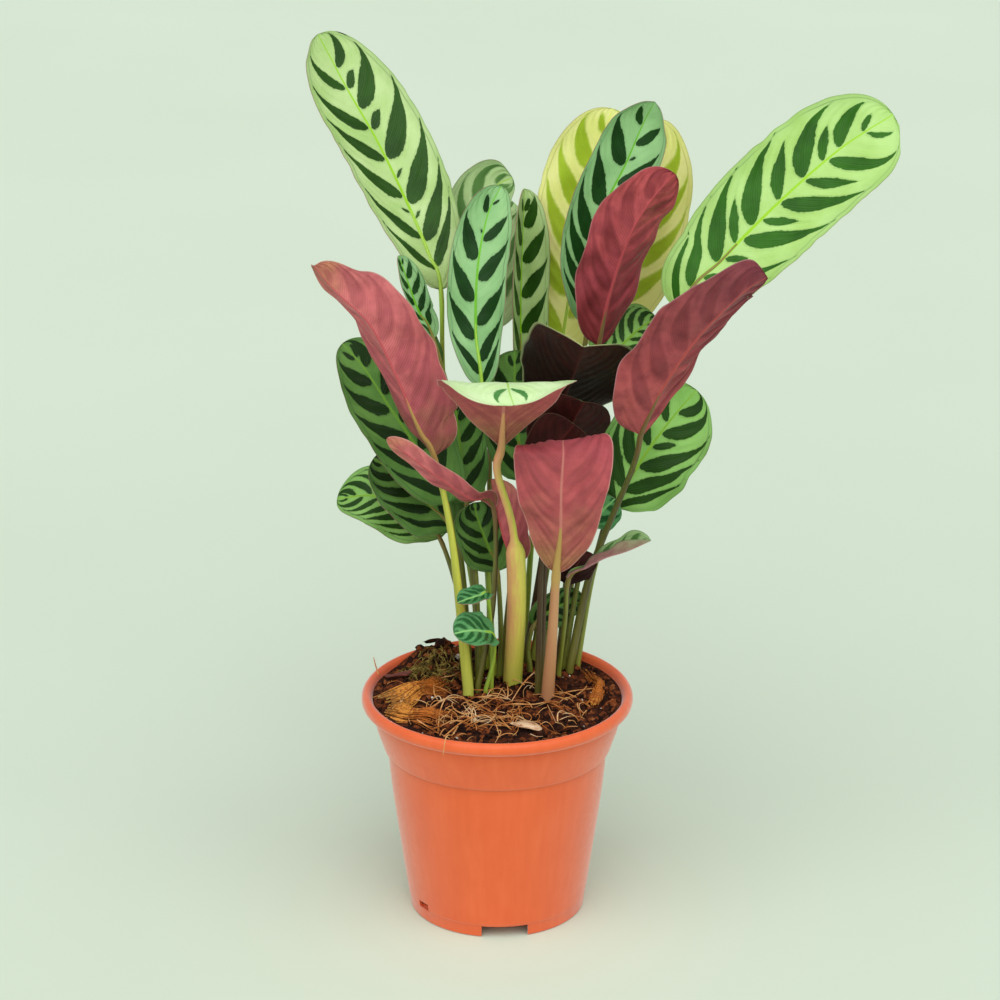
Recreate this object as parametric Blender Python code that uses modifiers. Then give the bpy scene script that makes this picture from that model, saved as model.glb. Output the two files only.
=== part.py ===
"""A potted ctenanthe: a striped foliage plant in a thin plastic nursery pot, full of peat and coir."""
import math

import bmesh
import bpy
import numpy as np
from mathutils import Vector
from mathutils.bvhtree import BVHTree

# Start from an empty scene
for leftover in list(bpy.data.objects):
    bpy.data.objects.remove(leftover, do_unlink=True)

MM = 0.001
GAP = 0.3

# Driving dimensions, in millimetres. Heights are above the surface that the pot stands on
RIM_RADIUS = 70.0
POT_HEIGHT = 119.5
BEAD_HEIGHT = 6.6
WALL = 1.4
STEP_HEIGHT = 90.2
FLOOR_HEIGHT = 7.6
FOOT_RADIUS = 45.4
POT_FACETS = 36
ARCH_WIDTH = 24.0
ARCH_HEIGHT = 6.2
ARCH_TURNS = (-85.0, 35.0, 155.0)
SLOT_SIZE = (5.0, 8.0, 4.2)
SLOT_TURNS = (-145.0, -7.0)
DRAIN_RADIUS = 4.0
DRAIN_CIRCLE = 30.0
DRAIN_COUNT = 6

SOIL_LEVEL = 113.5
SOIL_LUMP = 1.5
STEM_BOTTOM = 101.0
STEM_STRAIGHT_TO = 119.0

BLADE_THICKNESS = 0.7
BLADE_ROW_LENGTH = 13.0
BLADE_COLUMNS = 4
STEM_STEP = 22.0
STEM_THICK = (1.7, 1.2)
NECK_HALF_WIDTH = 1.6
TIP_HALF_WIDTH = 0.7
KEEL_SHARE = 0.3
KEEL_ROWS = 40
BASE_SHARE = 0.42
TIP_SHARE = 0.36
WAVE_HEIGHT = 1.5
WAVE_COUNT = 2.5
WAVE_SHIFT = 1.9

# The whole plant stands over the origin by the middle of its box, so the pot is off to one side
POT_AXIS = Vector((-54.4, -25.0, 0.0))

# Each leaf, in millimetres from the pot's axis. foot: where its stalk comes out of the soil. stem: places
# that the stalk passes. rib: places on the midrib, from the neck to the tip. face: where the middle of the
# upper side looks. fold and roll: how many degrees each half lifts at the midrib, and curls up further to
# the margin. base and tip: the share of the length over which the outline widens and narrows, as one number
# or one for each half. wave: height of the margin's waves, and waves how many. thick: the stalk's radius at
# the soil and at the neck
LEAVES = {
    "leaf_top_left": dict(
        foot=(-6, 37), stem=[(-26, 52, 249)],
        rib=[
            (-29, 66, 315), (-35, 76, 330), (-46, 92, 352), (-62, 112, 380), (-78, 128, 404),
            (-88, 136, 422), (-94, 138, 433),
        ],
        face=(0.1, -0.9, 0.3), width=53, fold=(30, 0), roll=(18, 6), base=0.56, tip=(0.34, 0.42), wave=1.4),
    "leaf_centre_mint": dict(
        foot=(-2, 33), stem=[(-8, 40, 226)],
        rib=[(-8, 40, 272), (-11, 50, 298), (-10, 62, 328), (-5, 74, 352), (2, 80, 366)],
        face=(0.1, -0.95, 0.35), width=38, fold=(4, 4), roll=(14, 16), base=0.5, tip=(0.5, 0.36), wave=1.2),
    "leaf_behind_curled": dict(
        foot=(-4, 42), stem=[(-4, 78, 223)],
        rib=[(-3, 106, 280), (-5, 116, 315), (-7, 122, 338), (-1, 126, 352), (8, 126, 357)],
        face=(-0.1, -0.95, 0.25), width=42, fold=(6, 6), roll=(10, 20), wave=1.5),
    "leaf_folded_narrow": dict(
        foot=(9, 50), stem=[(12, 62, 201)],
        rib=[(12, 78, 253), (12, 92, 301), (13, 100, 331), (14, 106, 357)],
        face=(-0.1, -0.95, 0.3), width=32, fold=(76, 12), roll=(10, 10), wave=1.0),
    "leaf_yellow_left": dict(
        foot=(14, 51), stem=[(21, 72, 208)],
        rib=[(33, 92, 273), (39, 102, 308), (47, 114, 343), (55, 124, 375), (60, 128, 394)],
        face=(0.1, -0.95, 0.3), width=56, fold=(4, 4), roll=(12, 12), wave=1.5),
    "leaf_yellow_right": dict(
        foot=(23, 49), stem=[(41, 84, 203)],
        rib=[(59, 108, 279), (67, 116, 304), (76, 126, 337), (79, 134, 370), (75, 136, 385)],
        face=(0.1, -0.95, 0.3), width=50, fold=(4, 4), roll=(12, 16), wave=1.5),
    "leaf_upright_mint": dict(
        foot=(19, 46), stem=[(34, 62, 217)],
        rib=[(47, 72, 294), (49, 82, 325), (56, 92, 352), (66, 100, 371), (75, 106, 391), (81, 104, 404)],
        face=(0.1, -0.95, 0.3), width=46, fold=(4, 16), roll=(16, 26), tip=0.28, wave=1.2),
    "leaf_top_right": dict(
        foot=(38, 40), stem=[(63, 68, 209)],
        rib=[
            (94, 66, 304), (116, 76, 328), (145, 90, 354), (173, 102, 376), (190, 107, 387),
            (205, 112, 395),
        ],
        face=(-0.1, -0.9, 0.45), width=59, fold=(5, 5), roll=(10, 12), base=0.48, tip=(0.3, 0.16),
        wave=1.4),
    "leaf_rose_upright": dict(
        foot=(32, 39), stem=[(40, 56, 214)],
        rib=[(52, 50, 290), (58, 49, 320), (68, 48, 351), (79, 50, 369), (88, 55, 378)],
        face=(-0.2, 0.9, 0.2), width=40, fold=(22, 18), roll=(14, 14), base=0.5, tip=(0.36, 0.26),
        wave=1.8, waves=3),
    "leaf_dark_centre": dict(
        foot=(15, 45), stem=[(26, 48, 195)],
        rib=[(30, 46, 248), (35, 37, 268), (40, 22, 287), (43, 4, 305)],
        face=(-0.1, 0.75, 0.65), width=64, fold=(0, 34), roll=(12, 22), base=0.5, tip=0.4, wave=1.5),
    "leaf_round_small": dict(
        foot=(33, 44), stem=[(47, 62, 212)],
        rib=[(56, 66, 275), (65, 72, 283), (74, 80, 289), (83, 86, 293)],
        face=(-0.2, -0.8, 0.55), width=30, fold=(6, 6), roll=(12, 12), wave=1.0),
    "leaf_rose_right": dict(
        foot=(38, 31), stem=[(49, 38, 171), (69, 24, 232)], thick=(2.2, 1.4),
        rib=[(73, 16, 254), (77, 12, 266), (85, 7, 285), (101, 0, 312), (122, -4, 336), (134, 2, 342)],
        face=(-0.35, 0.9, 0.3), width=52, fold=(28, 8), roll=(16, 14), base=0.34, tip=(0.26, 0.55),
        wave=1.8, waves=3),
    "leaf_broad_right": dict(
        foot=(42, 36), stem=[(50, 46, 165)],
        rib=[(61, 48, 202), (68, 49, 216), (80, 52, 235), (94, 56, 253), (103, 58, 263)],
        face=(0.15, -0.9, 0.4), width=52, fold=(8, 6), roll=(10, 12), tip=0.42, wave=1.5),
    "leaf_long_left": dict(
        foot=(-16, 8), stem=[(-20, 13, 175)], thick=(2.2, 1.4),
        rib=[(-26, 21, 214), (-38, 25, 238), (-54, 30, 262), (-68, 35, 283), (-79, 38, 295)],
        face=(0.3, -0.9, 0.3), width=42, fold=(6, 4), roll=(12, 10), tip=0.5, wave=1.2),
    "leaf_low_left": dict(
        foot=(-14, 13), stem=[(-18, 20, 156)], thick=(2.1, 1.3),
        rib=[(-24, 31, 195), (-36, 35, 209), (-50, 40, 222), (-64, 45, 230)],
        face=(0.2, -0.85, 0.5), width=40, fold=(6, 4), roll=(12, 10), tip=0.5, wave=1.0),
    "leaf_pointed_left": dict(
        foot=(-15, 27), stem=[(-17, 36, 143)],
        rib=[(-30, 47, 185), (-46, 53, 197), (-64, 61, 203), (-84, 68, 199)],
        face=(0.2, -0.8, 0.55), width=38, fold=(6, 6), roll=(10, 10), tip=0.62, wave=1.0),
    "leaf_folded_small": dict(
        foot=(-9, 33), stem=[(-19, 44, 235)],
        rib=[(-33, 41, 297), (-40, 41, 311), (-46, 42, 328), (-50, 44, 340)],
        face=(0.4, -0.8, 0.2), width=18, fold=(34, 10), roll=(20, 16), base=0.7, tip=0.5, wave=0.8),
    "leaf_hidden_left": dict(
        foot=(-15, 42), stem=[(-19, 46, 165), (-25, 50, 205), (-31, 52, 245)],
        rib=[(-35, 50, 271), (-39, 50, 285), (-43, 50, 296), (-46, 50, 304)],
        face=(0.3, -0.9, 0.3), width=22, fold=(6, 6), roll=(12, 12), wave=0.8),
    "leaf_nodding_front": dict(
        foot=(8, 16), stem=[(10, 11, 165), (8, 6, 206), (0, 1, 239)], thick=(5, 2),
        rib=[(2, 0, 252), (3, -17, 276), (4, -40, 299), (5, -61, 308), (6, -78, 309), (8, -90, 307)],
        face=(-0.06, 0.6, 0.8), width=74, fold=(-2, 2), roll=(4, 5), base=0.85, tip=0.5, wave=1.0),
    "leaf_pink_front": dict(
        foot=(26, -3), stem=[(28, -6, 150)], thick=(3.5, 2.2),
        rib=[(30, -8, 188), (32, -15, 214), (32, -22, 238), (33, -22, 256), (33, -12, 260), (34, 0, 256)],
        face=(0.0, 0.9, 0.3), width=55, fold=(-12, 6), roll=(4, 8), base=1.2, tip=0.3, wave=1.6, waves=3),
    "leaf_pink_left": dict(
        foot=(-15, 3), stem=[(-23, 3, 201)], thick=(3.2, 1.5),
        rib=[(-32, 3, 247), (-39, 2, 261), (-50, -2, 290), (-63, -8, 320), (-79, -14, 339), (-90, -18, 354)],
        face=(0.2, 0.9, 0.2), width=48, fold=(26, 40), roll=(22, 16), base=(0.22, 0.5), tip=(0.6, 0.5),
        wave=2.0, waves=3),
    "leaf_maroon_behind": dict(
        foot=(23, 10), stem=[(25, 20, 184)],
        rib=[(32, 26, 231), (35, 22, 246), (39, 18, 261), (44, 14, 272)],
        face=(0.0, 0.85, 0.5), width=44, fold=(14, 14), roll=(14, 14), wave=1.2),
    "leaf_brown_edge": dict(
        foot=(21, 4), stem=[(22, 8, 166)],
        rib=[(24, 12, 220), (26, 12, 236), (30, 11, 249), (39, 8, 262)],
        face=(0.3, 0.9, 0.3), width=34, fold=(14, 14), roll=(14, 14), wave=1.2),
    "leaf_twisted_pink": dict(
        foot=(-10, 6), stem=[(-2, 13, 164)],
        rib=[(-2, 14, 215), (-14, 1, 225), (-29, -8, 239), (-43, -10, 251), (-55, -9, 261)],
        face=(0.2, 0.9, 0.35), width=15, fold=(8, 8), roll=(14, 14), wave=1.0),
    "leaf_magenta_rolled": dict(
        foot=(4, 22), stem=[(6, 18, 145)],
        rib=[(7, 16, 182), (3, 16, 199), (-1, 18, 215), (-3, 20, 228)],
        face=(0.8, 0.6, 0.2), width=28, fold=(50, 50), roll=(20, 20), wave=0.8),
    "leaf_green_shaded": dict(
        foot=(1, 26), stem=[(2, 27, 136)],
        rib=[(0, 29, 174), (-5, 29, 188), (-10, 30, 202), (-12, 31, 211)],
        face=(0.1, -0.9, 0.3), width=30, fold=(8, 8), roll=(12, 12), wave=0.8),
    "leaf_oval_small": dict(
        foot=(-6, 1), stem=[(-2, 2, 135)], thick=(1.2, 1.0),
        rib=[(-2, 0, 150), (-7, -7, 155), (-14, -13, 158), (-22, -17, 158)],
        face=(0.0, -0.7, 0.7), width=20, fold=(6, 6), roll=(16, 16), wave=0.8),
    "leaf_bud_small": dict(
        foot=(-3, 6), stem=[(-3, 7, 144)], thick=(1.2, 1.0),
        rib=[(-5, 0, 172), (-9, -5, 174), (-14, -9, 174), (-20, -12, 173)],
        face=(0.0, -0.6, 0.8), width=13, fold=(20, 6), roll=(16, 16), wave=0.6),
    "leaf_rolled_young": dict(
        foot=(32, 25), stem=[(35, 23, 149)], thick=(1.4, 1.2),
        rib=[(37, 22, 173), (46, 17, 181), (55, 10, 189), (66, 4, 195), (78, -2, 203)],
        face=(-0.1, -0.2, 0.95), width=22, fold=(60, 50), roll=(10, 10), base=0.5, tip=0.25, wave=0.8),
    "leaf_purple_small": dict(
        foot=(30, 30), stem=[(35, 31, 143)],
        rib=[(37, 30, 166), (39, 29, 173), (42, 28, 180), (44, 28, 186)],
        face=(0.0, 0.9, 0.2), width=22, fold=(8, 8), roll=(10, 10), wave=0.6),
    "leaf_striped_low": dict(
        foot=(17, 34), stem=[(16, 35, 127)],
        rib=[(19, 37, 140), (27, 40, 147), (36, 44, 150), (49, 47, 148)],
        face=(0.5, -0.8, 0.2), width=26, fold=(6, 6), roll=(10, 10), tip=0.5, wave=0.8),
    "leaf_tiny_right": dict(
        foot=(35, 35), stem=[(39, 39, 145), (43, 42, 168)],
        rib=[(48, 42, 193), (52, 42, 199), (56, 42, 204), (61, 42, 209)],
        face=(0.1, -0.97, 0.1), width=20, fold=(5, 5), roll=(8, 8), wave=0.4),
    "leaf_olive_inner": dict(
        foot=(9, 42), stem=[(11, 48, 172)],
        rib=[(12, 50, 216), (11, 54, 237), (9, 57, 261), (9, 60, 284)],
        face=(0.1, -0.95, 0.2), width=36, fold=(6, 6), roll=(10, 10), wave=0.8),
    "leaf_olive_shaded": dict(
        foot=(-10, 13), stem=[(-11, 27, 170)],
        rib=[(-16, 34, 209), (-18, 36, 227), (-20, 37, 249), (-22, 38, 265)],
        face=(0.1, -0.95, 0.2), width=28, fold=(6, 6), roll=(10, 10), wave=0.8),
}

PLANT = bpy.data.collections.new("potted_ctenanthe")
CUTTERS = bpy.data.collections.new("cutters")
bpy.context.scene.collection.children.link(PLANT)
bpy.context.scene.collection.children.link(CUTTERS)


def plain_material(name, colour, roughness):
    """A dielectric finish in one colour, given as linear red, green and blue."""
    material = bpy.data.materials.new(name)
    material.use_nodes = True
    shader = material.node_tree.nodes["Principled BSDF"]
    shader.inputs["Base Color"].default_value = (*colour, 1.0)
    shader.inputs["Roughness"].default_value = roughness
    shader.inputs["Metallic"].default_value = 0.0
    return material


TERRACOTTA_PLASTIC = plain_material("terracotta_plastic", (0.76, 0.15, 0.05), 0.4)
PEAT = plain_material("peat", (0.035, 0.018, 0.010), 0.95)
LEAF_GREEN = plain_material("leaf_green", (0.28, 0.58, 0.16), 0.45)
LEAF_YELLOW = plain_material("leaf_yellow", (0.56, 0.66, 0.12), 0.45)
LEAF_ROSE = plain_material("leaf_rose", (0.42, 0.10, 0.12), 0.5)
LEAF_DARK = plain_material("leaf_dark", (0.10, 0.035, 0.03), 0.5)
BARK = plain_material("bark", (0.16, 0.06, 0.035), 0.9)
COIR = plain_material("coir", (0.45, 0.24, 0.08), 0.9)

# What lies on the soil: centre, turn in degrees, length, width, thickness and material
LITTER_CORNERS = 12
LITTER_SAMPLES = 15
LITTER = {
    "bark_chip": ((-51.5, 17.0), 20.0, 14.0, 12.0, 2.0, BARK),
    "bark_flake": ((15.0, -44.0), -18.0, 17.0, 8.0, 1.6, BARK),
    "coir_tuft_back": ((-41.0, 0.0), 42.0, 36.0, 11.0, 4.0, COIR),
    "coir_tuft_front": ((-44.0, -26.0), -26.0, 28.0, 10.0, 3.5, COIR),
    "coir_strand_right": ((54.5, 9.0), 92.0, 34.0, 5.0, 2.0, COIR),
}
LITTER_BENDS = {"coir_strand_right": 5.0, "coir_tuft_front": 2.0}

LEAF_MATERIALS = {
    "leaf_yellow_left": LEAF_YELLOW,
    "leaf_yellow_right": LEAF_YELLOW,
    "leaf_rose_upright": LEAF_ROSE,
    "leaf_rose_right": LEAF_ROSE,
    "leaf_pink_front": LEAF_ROSE,
    "leaf_pink_left": LEAF_ROSE,
    "leaf_twisted_pink": LEAF_ROSE,
    "leaf_magenta_rolled": LEAF_ROSE,
    "leaf_dark_centre": LEAF_DARK,
    "leaf_maroon_behind": LEAF_DARK,
    "leaf_brown_edge": LEAF_DARK,
    "leaf_purple_small": LEAF_DARK,
}


def new_object(name, mesh, collection, material=None):
    """An object at the pot's axis, whose mesh is in metres."""
    obj = bpy.data.objects.new(name, mesh)
    obj.location = POT_AXIS * MM
    collection.objects.link(obj)
    if material:
        mesh.materials.append(material)
    if collection == CUTTERS:
        obj.hide_render = True
        obj.display_type = "WIRE"
    return obj


def smooth_faces(obj, angle=40.0):
    """Smooth shading, but for the edges sharper than the angle."""
    obj.data.shade_smooth()
    obj.data.set_sharp_from_angle(angle=math.radians(angle))


def mesh_from_bmesh(name, bm):
    """Writes the bmesh, in millimetres, to a new mesh in metres."""
    bmesh.ops.scale(bm, vec=(MM, MM, MM), verts=bm.verts)
    mesh = bpy.data.meshes.new(name)
    bm.to_mesh(mesh)
    bm.free()
    return mesh


def split_faces(mesh):
    """Splits each face of the mesh into triangles, so that a raised corner bends no face."""
    bm = bmesh.new()
    bm.from_mesh(mesh)
    bmesh.ops.triangulate(bm, faces=bm.faces)
    bm.to_mesh(mesh)
    bm.free()


def apply_modifiers(obj):
    """Makes the evaluated shape the object's own mesh, and takes its modifiers off."""
    bpy.context.view_layer.update()
    depsgraph = bpy.context.evaluated_depsgraph_get()
    mesh = bpy.data.meshes.new_from_object(obj.evaluated_get(depsgraph))
    obj.modifiers.clear()
    obj.data = mesh


def turned_object(name, profile, collection, material, facets):
    """A turned shape: the profile of radius and height, run down its outer side, round the pot's axis."""
    mesh = bpy.data.meshes.new(name)
    verts = [(radius * MM, 0.0, height * MM) for radius, height in profile]
    mesh.from_pydata(verts, [(i, i + 1) for i in range(len(verts) - 1)], [])
    obj = new_object(name, mesh, collection, material)
    screw = obj.modifiers.new("turn", "SCREW")
    screw.axis = "Z"
    screw.angle = math.tau
    screw.steps = facets
    screw.render_steps = facets
    screw.use_merge_vertices = True
    screw.merge_threshold = 0.00001
    return obj


def cutter_box(name, size, place, turn):
    """A box cutter of the given size, its middle at place, turned about the pot's axis by turn degrees."""
    bm = bmesh.new()
    bmesh.ops.create_cube(bm, size=1.0)
    bmesh.ops.scale(bm, vec=size, verts=bm.verts)
    bmesh.ops.translate(bm, vec=place, verts=bm.verts)
    obj = new_object(name, mesh_from_bmesh(name, bm), CUTTERS)
    obj.rotation_euler.z = math.radians(turn)
    return obj


def cutter_cylinder(name, radius, bottom, top, x, y, facets):
    """An upright cylinder cutter."""
    bm = bmesh.new()
    depth = top - bottom
    bmesh.ops.create_cone(bm, cap_ends=True, segments=facets, radius1=radius, radius2=radius, depth=depth)
    bmesh.ops.translate(bm, vec=(x, y, (bottom + top) / 2), verts=bm.verts)
    return new_object(name, mesh_from_bmesh(name, bm), CUTTERS)


def cut(obj, cutters, name):
    """Takes every cutter out of the object with one Boolean on a collection."""
    group = bpy.data.collections.new(name)
    CUTTERS.children.link(group)
    for cutter in cutters:
        CUTTERS.objects.unlink(cutter)
        group.objects.link(cutter)
    boolean = obj.modifiers.new(name, "BOOLEAN")
    boolean.operation = "DIFFERENCE"
    boolean.operand_type = "COLLECTION"
    boolean.collection = group
    boolean.solver = "EXACT"


# The pot's wall, as radius and height: outer side first, from the rim's bead down to the foot
BEAD_BOTTOM = POT_HEIGHT - BEAD_HEIGHT
OUTER_WALL = (
    (65.4, BEAD_BOTTOM + 0.4),
    (62.0, 99.2),
    (58.9, STEP_HEIGHT),
    (56.6, STEP_HEIGHT - 1.8),
    (54.2, 63.0),
    (46.5, 7.2),
)
INNER_WALL = (
    (46.5 - WALL, FLOOR_HEIGHT),
    (54.2 - WALL, 63.0),
    (56.6 - WALL, STEP_HEIGHT - 1.4),
    (58.9 - WALL, STEP_HEIGHT + 0.6),
    (62.0 - WALL, 99.6),
    (65.4 - WALL, BEAD_BOTTOM + 1.4),
)
FOOT_RING_WIDTH = 1.8
FLOOR_UNDERSIDE = FLOOR_HEIGHT - WALL
DRAIN_REACH = (FLOOR_UNDERSIDE - 2.0, FLOOR_HEIGHT + 2.0)
DRAIN_FACETS = 12


def build_pot():
    """The thin moulded pot: rolled rim, flared collar, step, tapered wall, and a foot ring with arches."""
    bead = (
        (65.2, POT_HEIGHT - 1.6),
        (66.6, POT_HEIGHT - 0.2),
        (67.8, POT_HEIGHT),
        (69.3, POT_HEIGHT - 1.2),
        (RIM_RADIUS, POT_HEIGHT - 3.3),
        (69.7, BEAD_BOTTOM + 1.2),
        (68.4, BEAD_BOTTOM),
        (67.2, BEAD_BOTTOM + 0.2),
    )
    foot = (
        (FOOT_RADIUS + 0.5, 6.6),
        (FOOT_RADIUS, 0.0),
        (FOOT_RADIUS - FOOT_RING_WIDTH, 0.0),
        (FOOT_RADIUS - FOOT_RING_WIDTH, FLOOR_UNDERSIDE),
        (0.0, FLOOR_UNDERSIDE),
    )
    profile = ((0.0, FLOOR_HEIGHT), *INNER_WALL, *bead, *OUTER_WALL, *foot)
    pot = turned_object("pot", profile, PLANT, TERRACOTTA_PLASTIC, POT_FACETS)
    reach = FOOT_RING_WIDTH * 4
    cutters = [
        cutter_box("arch", (reach, ARCH_WIDTH, ARCH_HEIGHT * 2), (FOOT_RADIUS, 0.0, 0.0), turn)
        for turn in ARCH_TURNS
    ]
    slot_place = (FOOT_RADIUS + 1.0, 0.0, FLOOR_HEIGHT - 1.0)
    cutters += [cutter_box("slot", SLOT_SIZE, slot_place, turn) for turn in SLOT_TURNS]
    for number in range(DRAIN_COUNT):
        turn = math.tau * number / DRAIN_COUNT
        x, y = DRAIN_CIRCLE * math.cos(turn), DRAIN_CIRCLE * math.sin(turn)
        cutters.append(cutter_cylinder("drain", DRAIN_RADIUS, *DRAIN_REACH, x, y, DRAIN_FACETS))
    cut(pot, cutters, "pot_cutters")
    return pot


def lump(x, y):
    """Height of the soil's own unevenness at a place, in millimetres."""
    coarse = math.sin(0.11 * x + 1.3) * math.cos(0.13 * y - 0.4)
    fine = math.sin(0.31 * x - 0.21 * y) + math.cos(0.27 * y + 0.19 * x + 2.0)
    return SOIL_LUMP * (coarse + 0.45 * fine)


def mound(x, y):
    """The heaps at the back left and the left, which stand above the rim. Gives their height."""
    back = ((x + 31.0) / 15.0) ** 2 + ((y - 44.0) / 12.0) ** 2
    left = ((x + 45.0) / 18.0) ** 2 + ((y - 8.0) / 20.0) ** 2
    return 7.0 * math.exp(-back) + 3.0 * math.exp(-left)


def build_soil():
    """The root ball: a plug of peat and coir with a lumpy top and a plain hole for each stalk."""
    inset = GAP + 0.1
    walls = [(radius - inset, height) for radius, height in INNER_WALL[1:5]]
    edge = (62.4, SOIL_LEVEL - 3.0)
    rings = [(55.0, SOIL_LEVEL), (43.0, SOIL_LEVEL + 1.2), (28.0, SOIL_LEVEL + 2.0), (12.0, SOIL_LEVEL + 2.0)]
    side = [(46.5 - WALL - inset - 0.4, FLOOR_HEIGHT + inset), *walls, edge]
    profile = [(0.0, SOIL_LEVEL + 2.0), *reversed(rings), *reversed(side), (0.0, FLOOR_HEIGHT + inset)]
    soil = turned_object("soil", profile, PLANT, PEAT, POT_FACETS)
    apply_modifiers(soil)
    for vertex in soil.data.vertices:
        x, y, z = vertex.co / MM
        if z > SOIL_LEVEL - 2.9:
            vertex.co.z = (z + lump(x, y) + mound(x, y)) * MM
    split_faces(soil.data)
    holes = []
    for leaf in LEAVES.values():
        radius = (leaf.get("thick", STEM_THICK)[0] + GAP + 0.05) / math.cos(math.pi / 8)
        x, y = leaf["foot"]
        holes.append(cutter_cylinder("hole", radius, STEM_BOTTOM - GAP, POT_HEIGHT + 20.0, x, y, 8))
    cut(soil, holes, "soil_cutters")
    apply_modifiers(soil)
    split_faces(soil.data)
    return soil


def ground_heights(tree, points):
    """Height of the soil's top under each place, in millimetres. A stalk's hole gives no height."""
    heights = []
    for x, y in points:
        hit = tree.ray_cast(Vector((x, y, POT_HEIGHT + 40.0)) * MM, Vector((0, 0, -1)))[0]
        if hit and hit.z / MM > STEM_BOTTOM + 3.0:
            heights.append(hit.z / MM)
        else:
            heights.append(SOIL_LEVEL)
    return heights


def build_litter(name, piece, tree):
    """A flat piece that lies on the soil and follows it, thin at its edge and thick in the middle."""
    centre, along, length, width, thickness, material = piece
    bend = LITTER_BENDS.get(name, 0.0)
    c, s = math.cos(math.radians(along)), math.sin(math.radians(along))
    rings = []
    for share in (0.0, 0.55, 1.0):
        ring = []
        for corner in range(LITTER_CORNERS):
            turn = math.tau * corner / LITTER_CORNERS
            ragged = 1.0 + 0.08 * math.sin(5 * turn + length) * share
            u = length / 2 * math.cos(turn) * share * ragged
            v = width / 2 * math.sin(turn) * share * ragged + bend * (u / (length / 2)) ** 2
            ring.append((centre[0] + u * c - v * s, centre[1] + u * s + v * c))
        rings.append(ring if share else ring[:1])
    flat = np.array([place for ring in rings for place in ring])
    bottom = np.array(ground_heights(tree, flat))
    thick = np.array([1.0] + [0.9] * LITTER_CORNERS + [0.4] * LITTER_CORNERS) * thickness
    n = LITTER_CORNERS
    skin = []
    for i in range(1, n + 1):
        j = i % n + 1
        skin += [(0, i, j), (i, n + i, n + j), (i, n + j, j)]
    lift = 0.0
    for corners in skin:
        for a in range(LITTER_SAMPLES + 1):
            for b in range(LITTER_SAMPLES + 1 - a):
                shares = np.array((a, b, LITTER_SAMPLES - a - b)) / LITTER_SAMPLES
                ground = ground_heights(tree, [shares @ flat[list(corners)]])[0]
                lift = max(lift, ground - shares @ bottom[list(corners)])
    bottom = bottom + lift + GAP + 0.15
    bm = bmesh.new()
    low = [bm.verts.new((x, y, z)) for (x, y), z in zip(flat, bottom)]
    top = [bm.verts.new((x, y, z)) for (x, y), z in zip(flat, bottom + thick)]
    for corners in skin:
        bm.faces.new([low[i] for i in corners])
        bm.faces.new([top[i] for i in corners])
    for i in range(n + 1, 2 * n + 1):
        j = n + 1 + (i - n) % n
        bm.faces.new((low[i], top[i], top[j]))
        bm.faces.new((low[i], top[j], low[j]))
    bmesh.ops.recalc_face_normals(bm, faces=bm.faces)
    smooth_faces(new_object(name, mesh_from_bmesh(name, bm), PLANT, material))


def smooth_path(points, steps):
    """Catmull-Rom curve through the points. Gives its places, with steps for each span."""
    p = np.array(points, float)
    ext = np.vstack([2 * p[0] - p[1], p, 2 * p[-1] - p[-2]])
    t = np.linspace(0.0, 1.0, steps, endpoint=False)[:, None]
    spans = []
    for a, b, c, d in zip(ext, ext[1:], ext[2:], ext[3:]):
        spans.append(
            0.5 * (2 * b + (c - a) * t + (2 * a - 5 * b + 4 * c - d) * t**2 + (3 * b - a - 3 * c + d) * t**3)
        )
    return np.vstack([*spans, p[-1:]])


def even_points(path, count):
    """The same path with count places at even distances. Gives them with the path's length."""
    run = np.concatenate([[0.0], np.cumsum(np.linalg.norm(np.diff(path, axis=0), axis=1))])
    want = np.linspace(0.0, run[-1], count)
    return np.stack([np.interp(want, run, path[:, k]) for k in range(3)], axis=1), run[-1]


def unit(rows):
    """Each row at length one."""
    return rows / np.linalg.norm(rows, axis=-1, keepdims=True)


def half_width(s, base, tip):
    """An oblong leaf's outline: half width as a share, with a round base and a tip drawn to a point."""
    rise = np.clip(s / base, 0.0, 1.0)
    fall = np.clip((1.0 - s) / tip, 0.0, 1.0)
    return np.sqrt(1 - (1 - rise) ** 2) ** 0.85 * np.sqrt(1 - (1 - fall) ** 2.2) ** 0.95


def leaf_paths(leaf):
    """The stalk's path and the midrib's path, one smooth line from the soil to the tip."""
    x, y = leaf["foot"]
    points = [(x, y, STEM_STRAIGHT_TO - 1.0), (x, y, STEM_STRAIGHT_TO), *leaf["stem"], *leaf["rib"]]
    steps = 24
    path = smooth_path(points, steps)
    neck = steps * (len(leaf["stem"]) + 2)
    stalk = np.vstack([[x, y, STEM_BOTTOM], path[: neck + 1]])
    return stalk, path[neck:]


def carried_sides(rib, face):
    """Which way is sideways and which is up at each place on the rib, turned as little as the rib allows."""
    tangent = unit(np.gradient(rib, axis=0))
    face = np.array(face, float)
    side = np.zeros_like(rib)
    side[0] = unit(np.cross(tangent[0], face))
    for i in range(1, len(rib)):
        side[i] = unit(side[i - 1] - tangent[i] * (side[i - 1] @ tangent[i]))
    middle = len(rib) // 2
    wanted = unit(np.cross(tangent[middle], face))
    up = np.cross(side, tangent)
    angle = math.atan2(wanted @ up[middle], wanted @ side[middle])
    side = side * math.cos(angle) + up * math.sin(angle)
    return side, np.cross(side, tangent)


def side_half(leaf, hand, s):
    """Half width of one side of the blade, in millimetres, at each share of its length."""
    base = leaf.get("base", BASE_SHARE)
    tip = leaf.get("tip", TIP_SHARE)
    base = base[hand] if isinstance(base, tuple) else base
    tip = tip[hand] if isinstance(tip, tuple) else tip
    least = NECK_HALF_WIDTH + (TIP_HALF_WIDTH - NECK_HALF_WIDTH) * s
    return np.maximum(leaf["width"] / 2 * half_width(s, base, tip), least)


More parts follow.
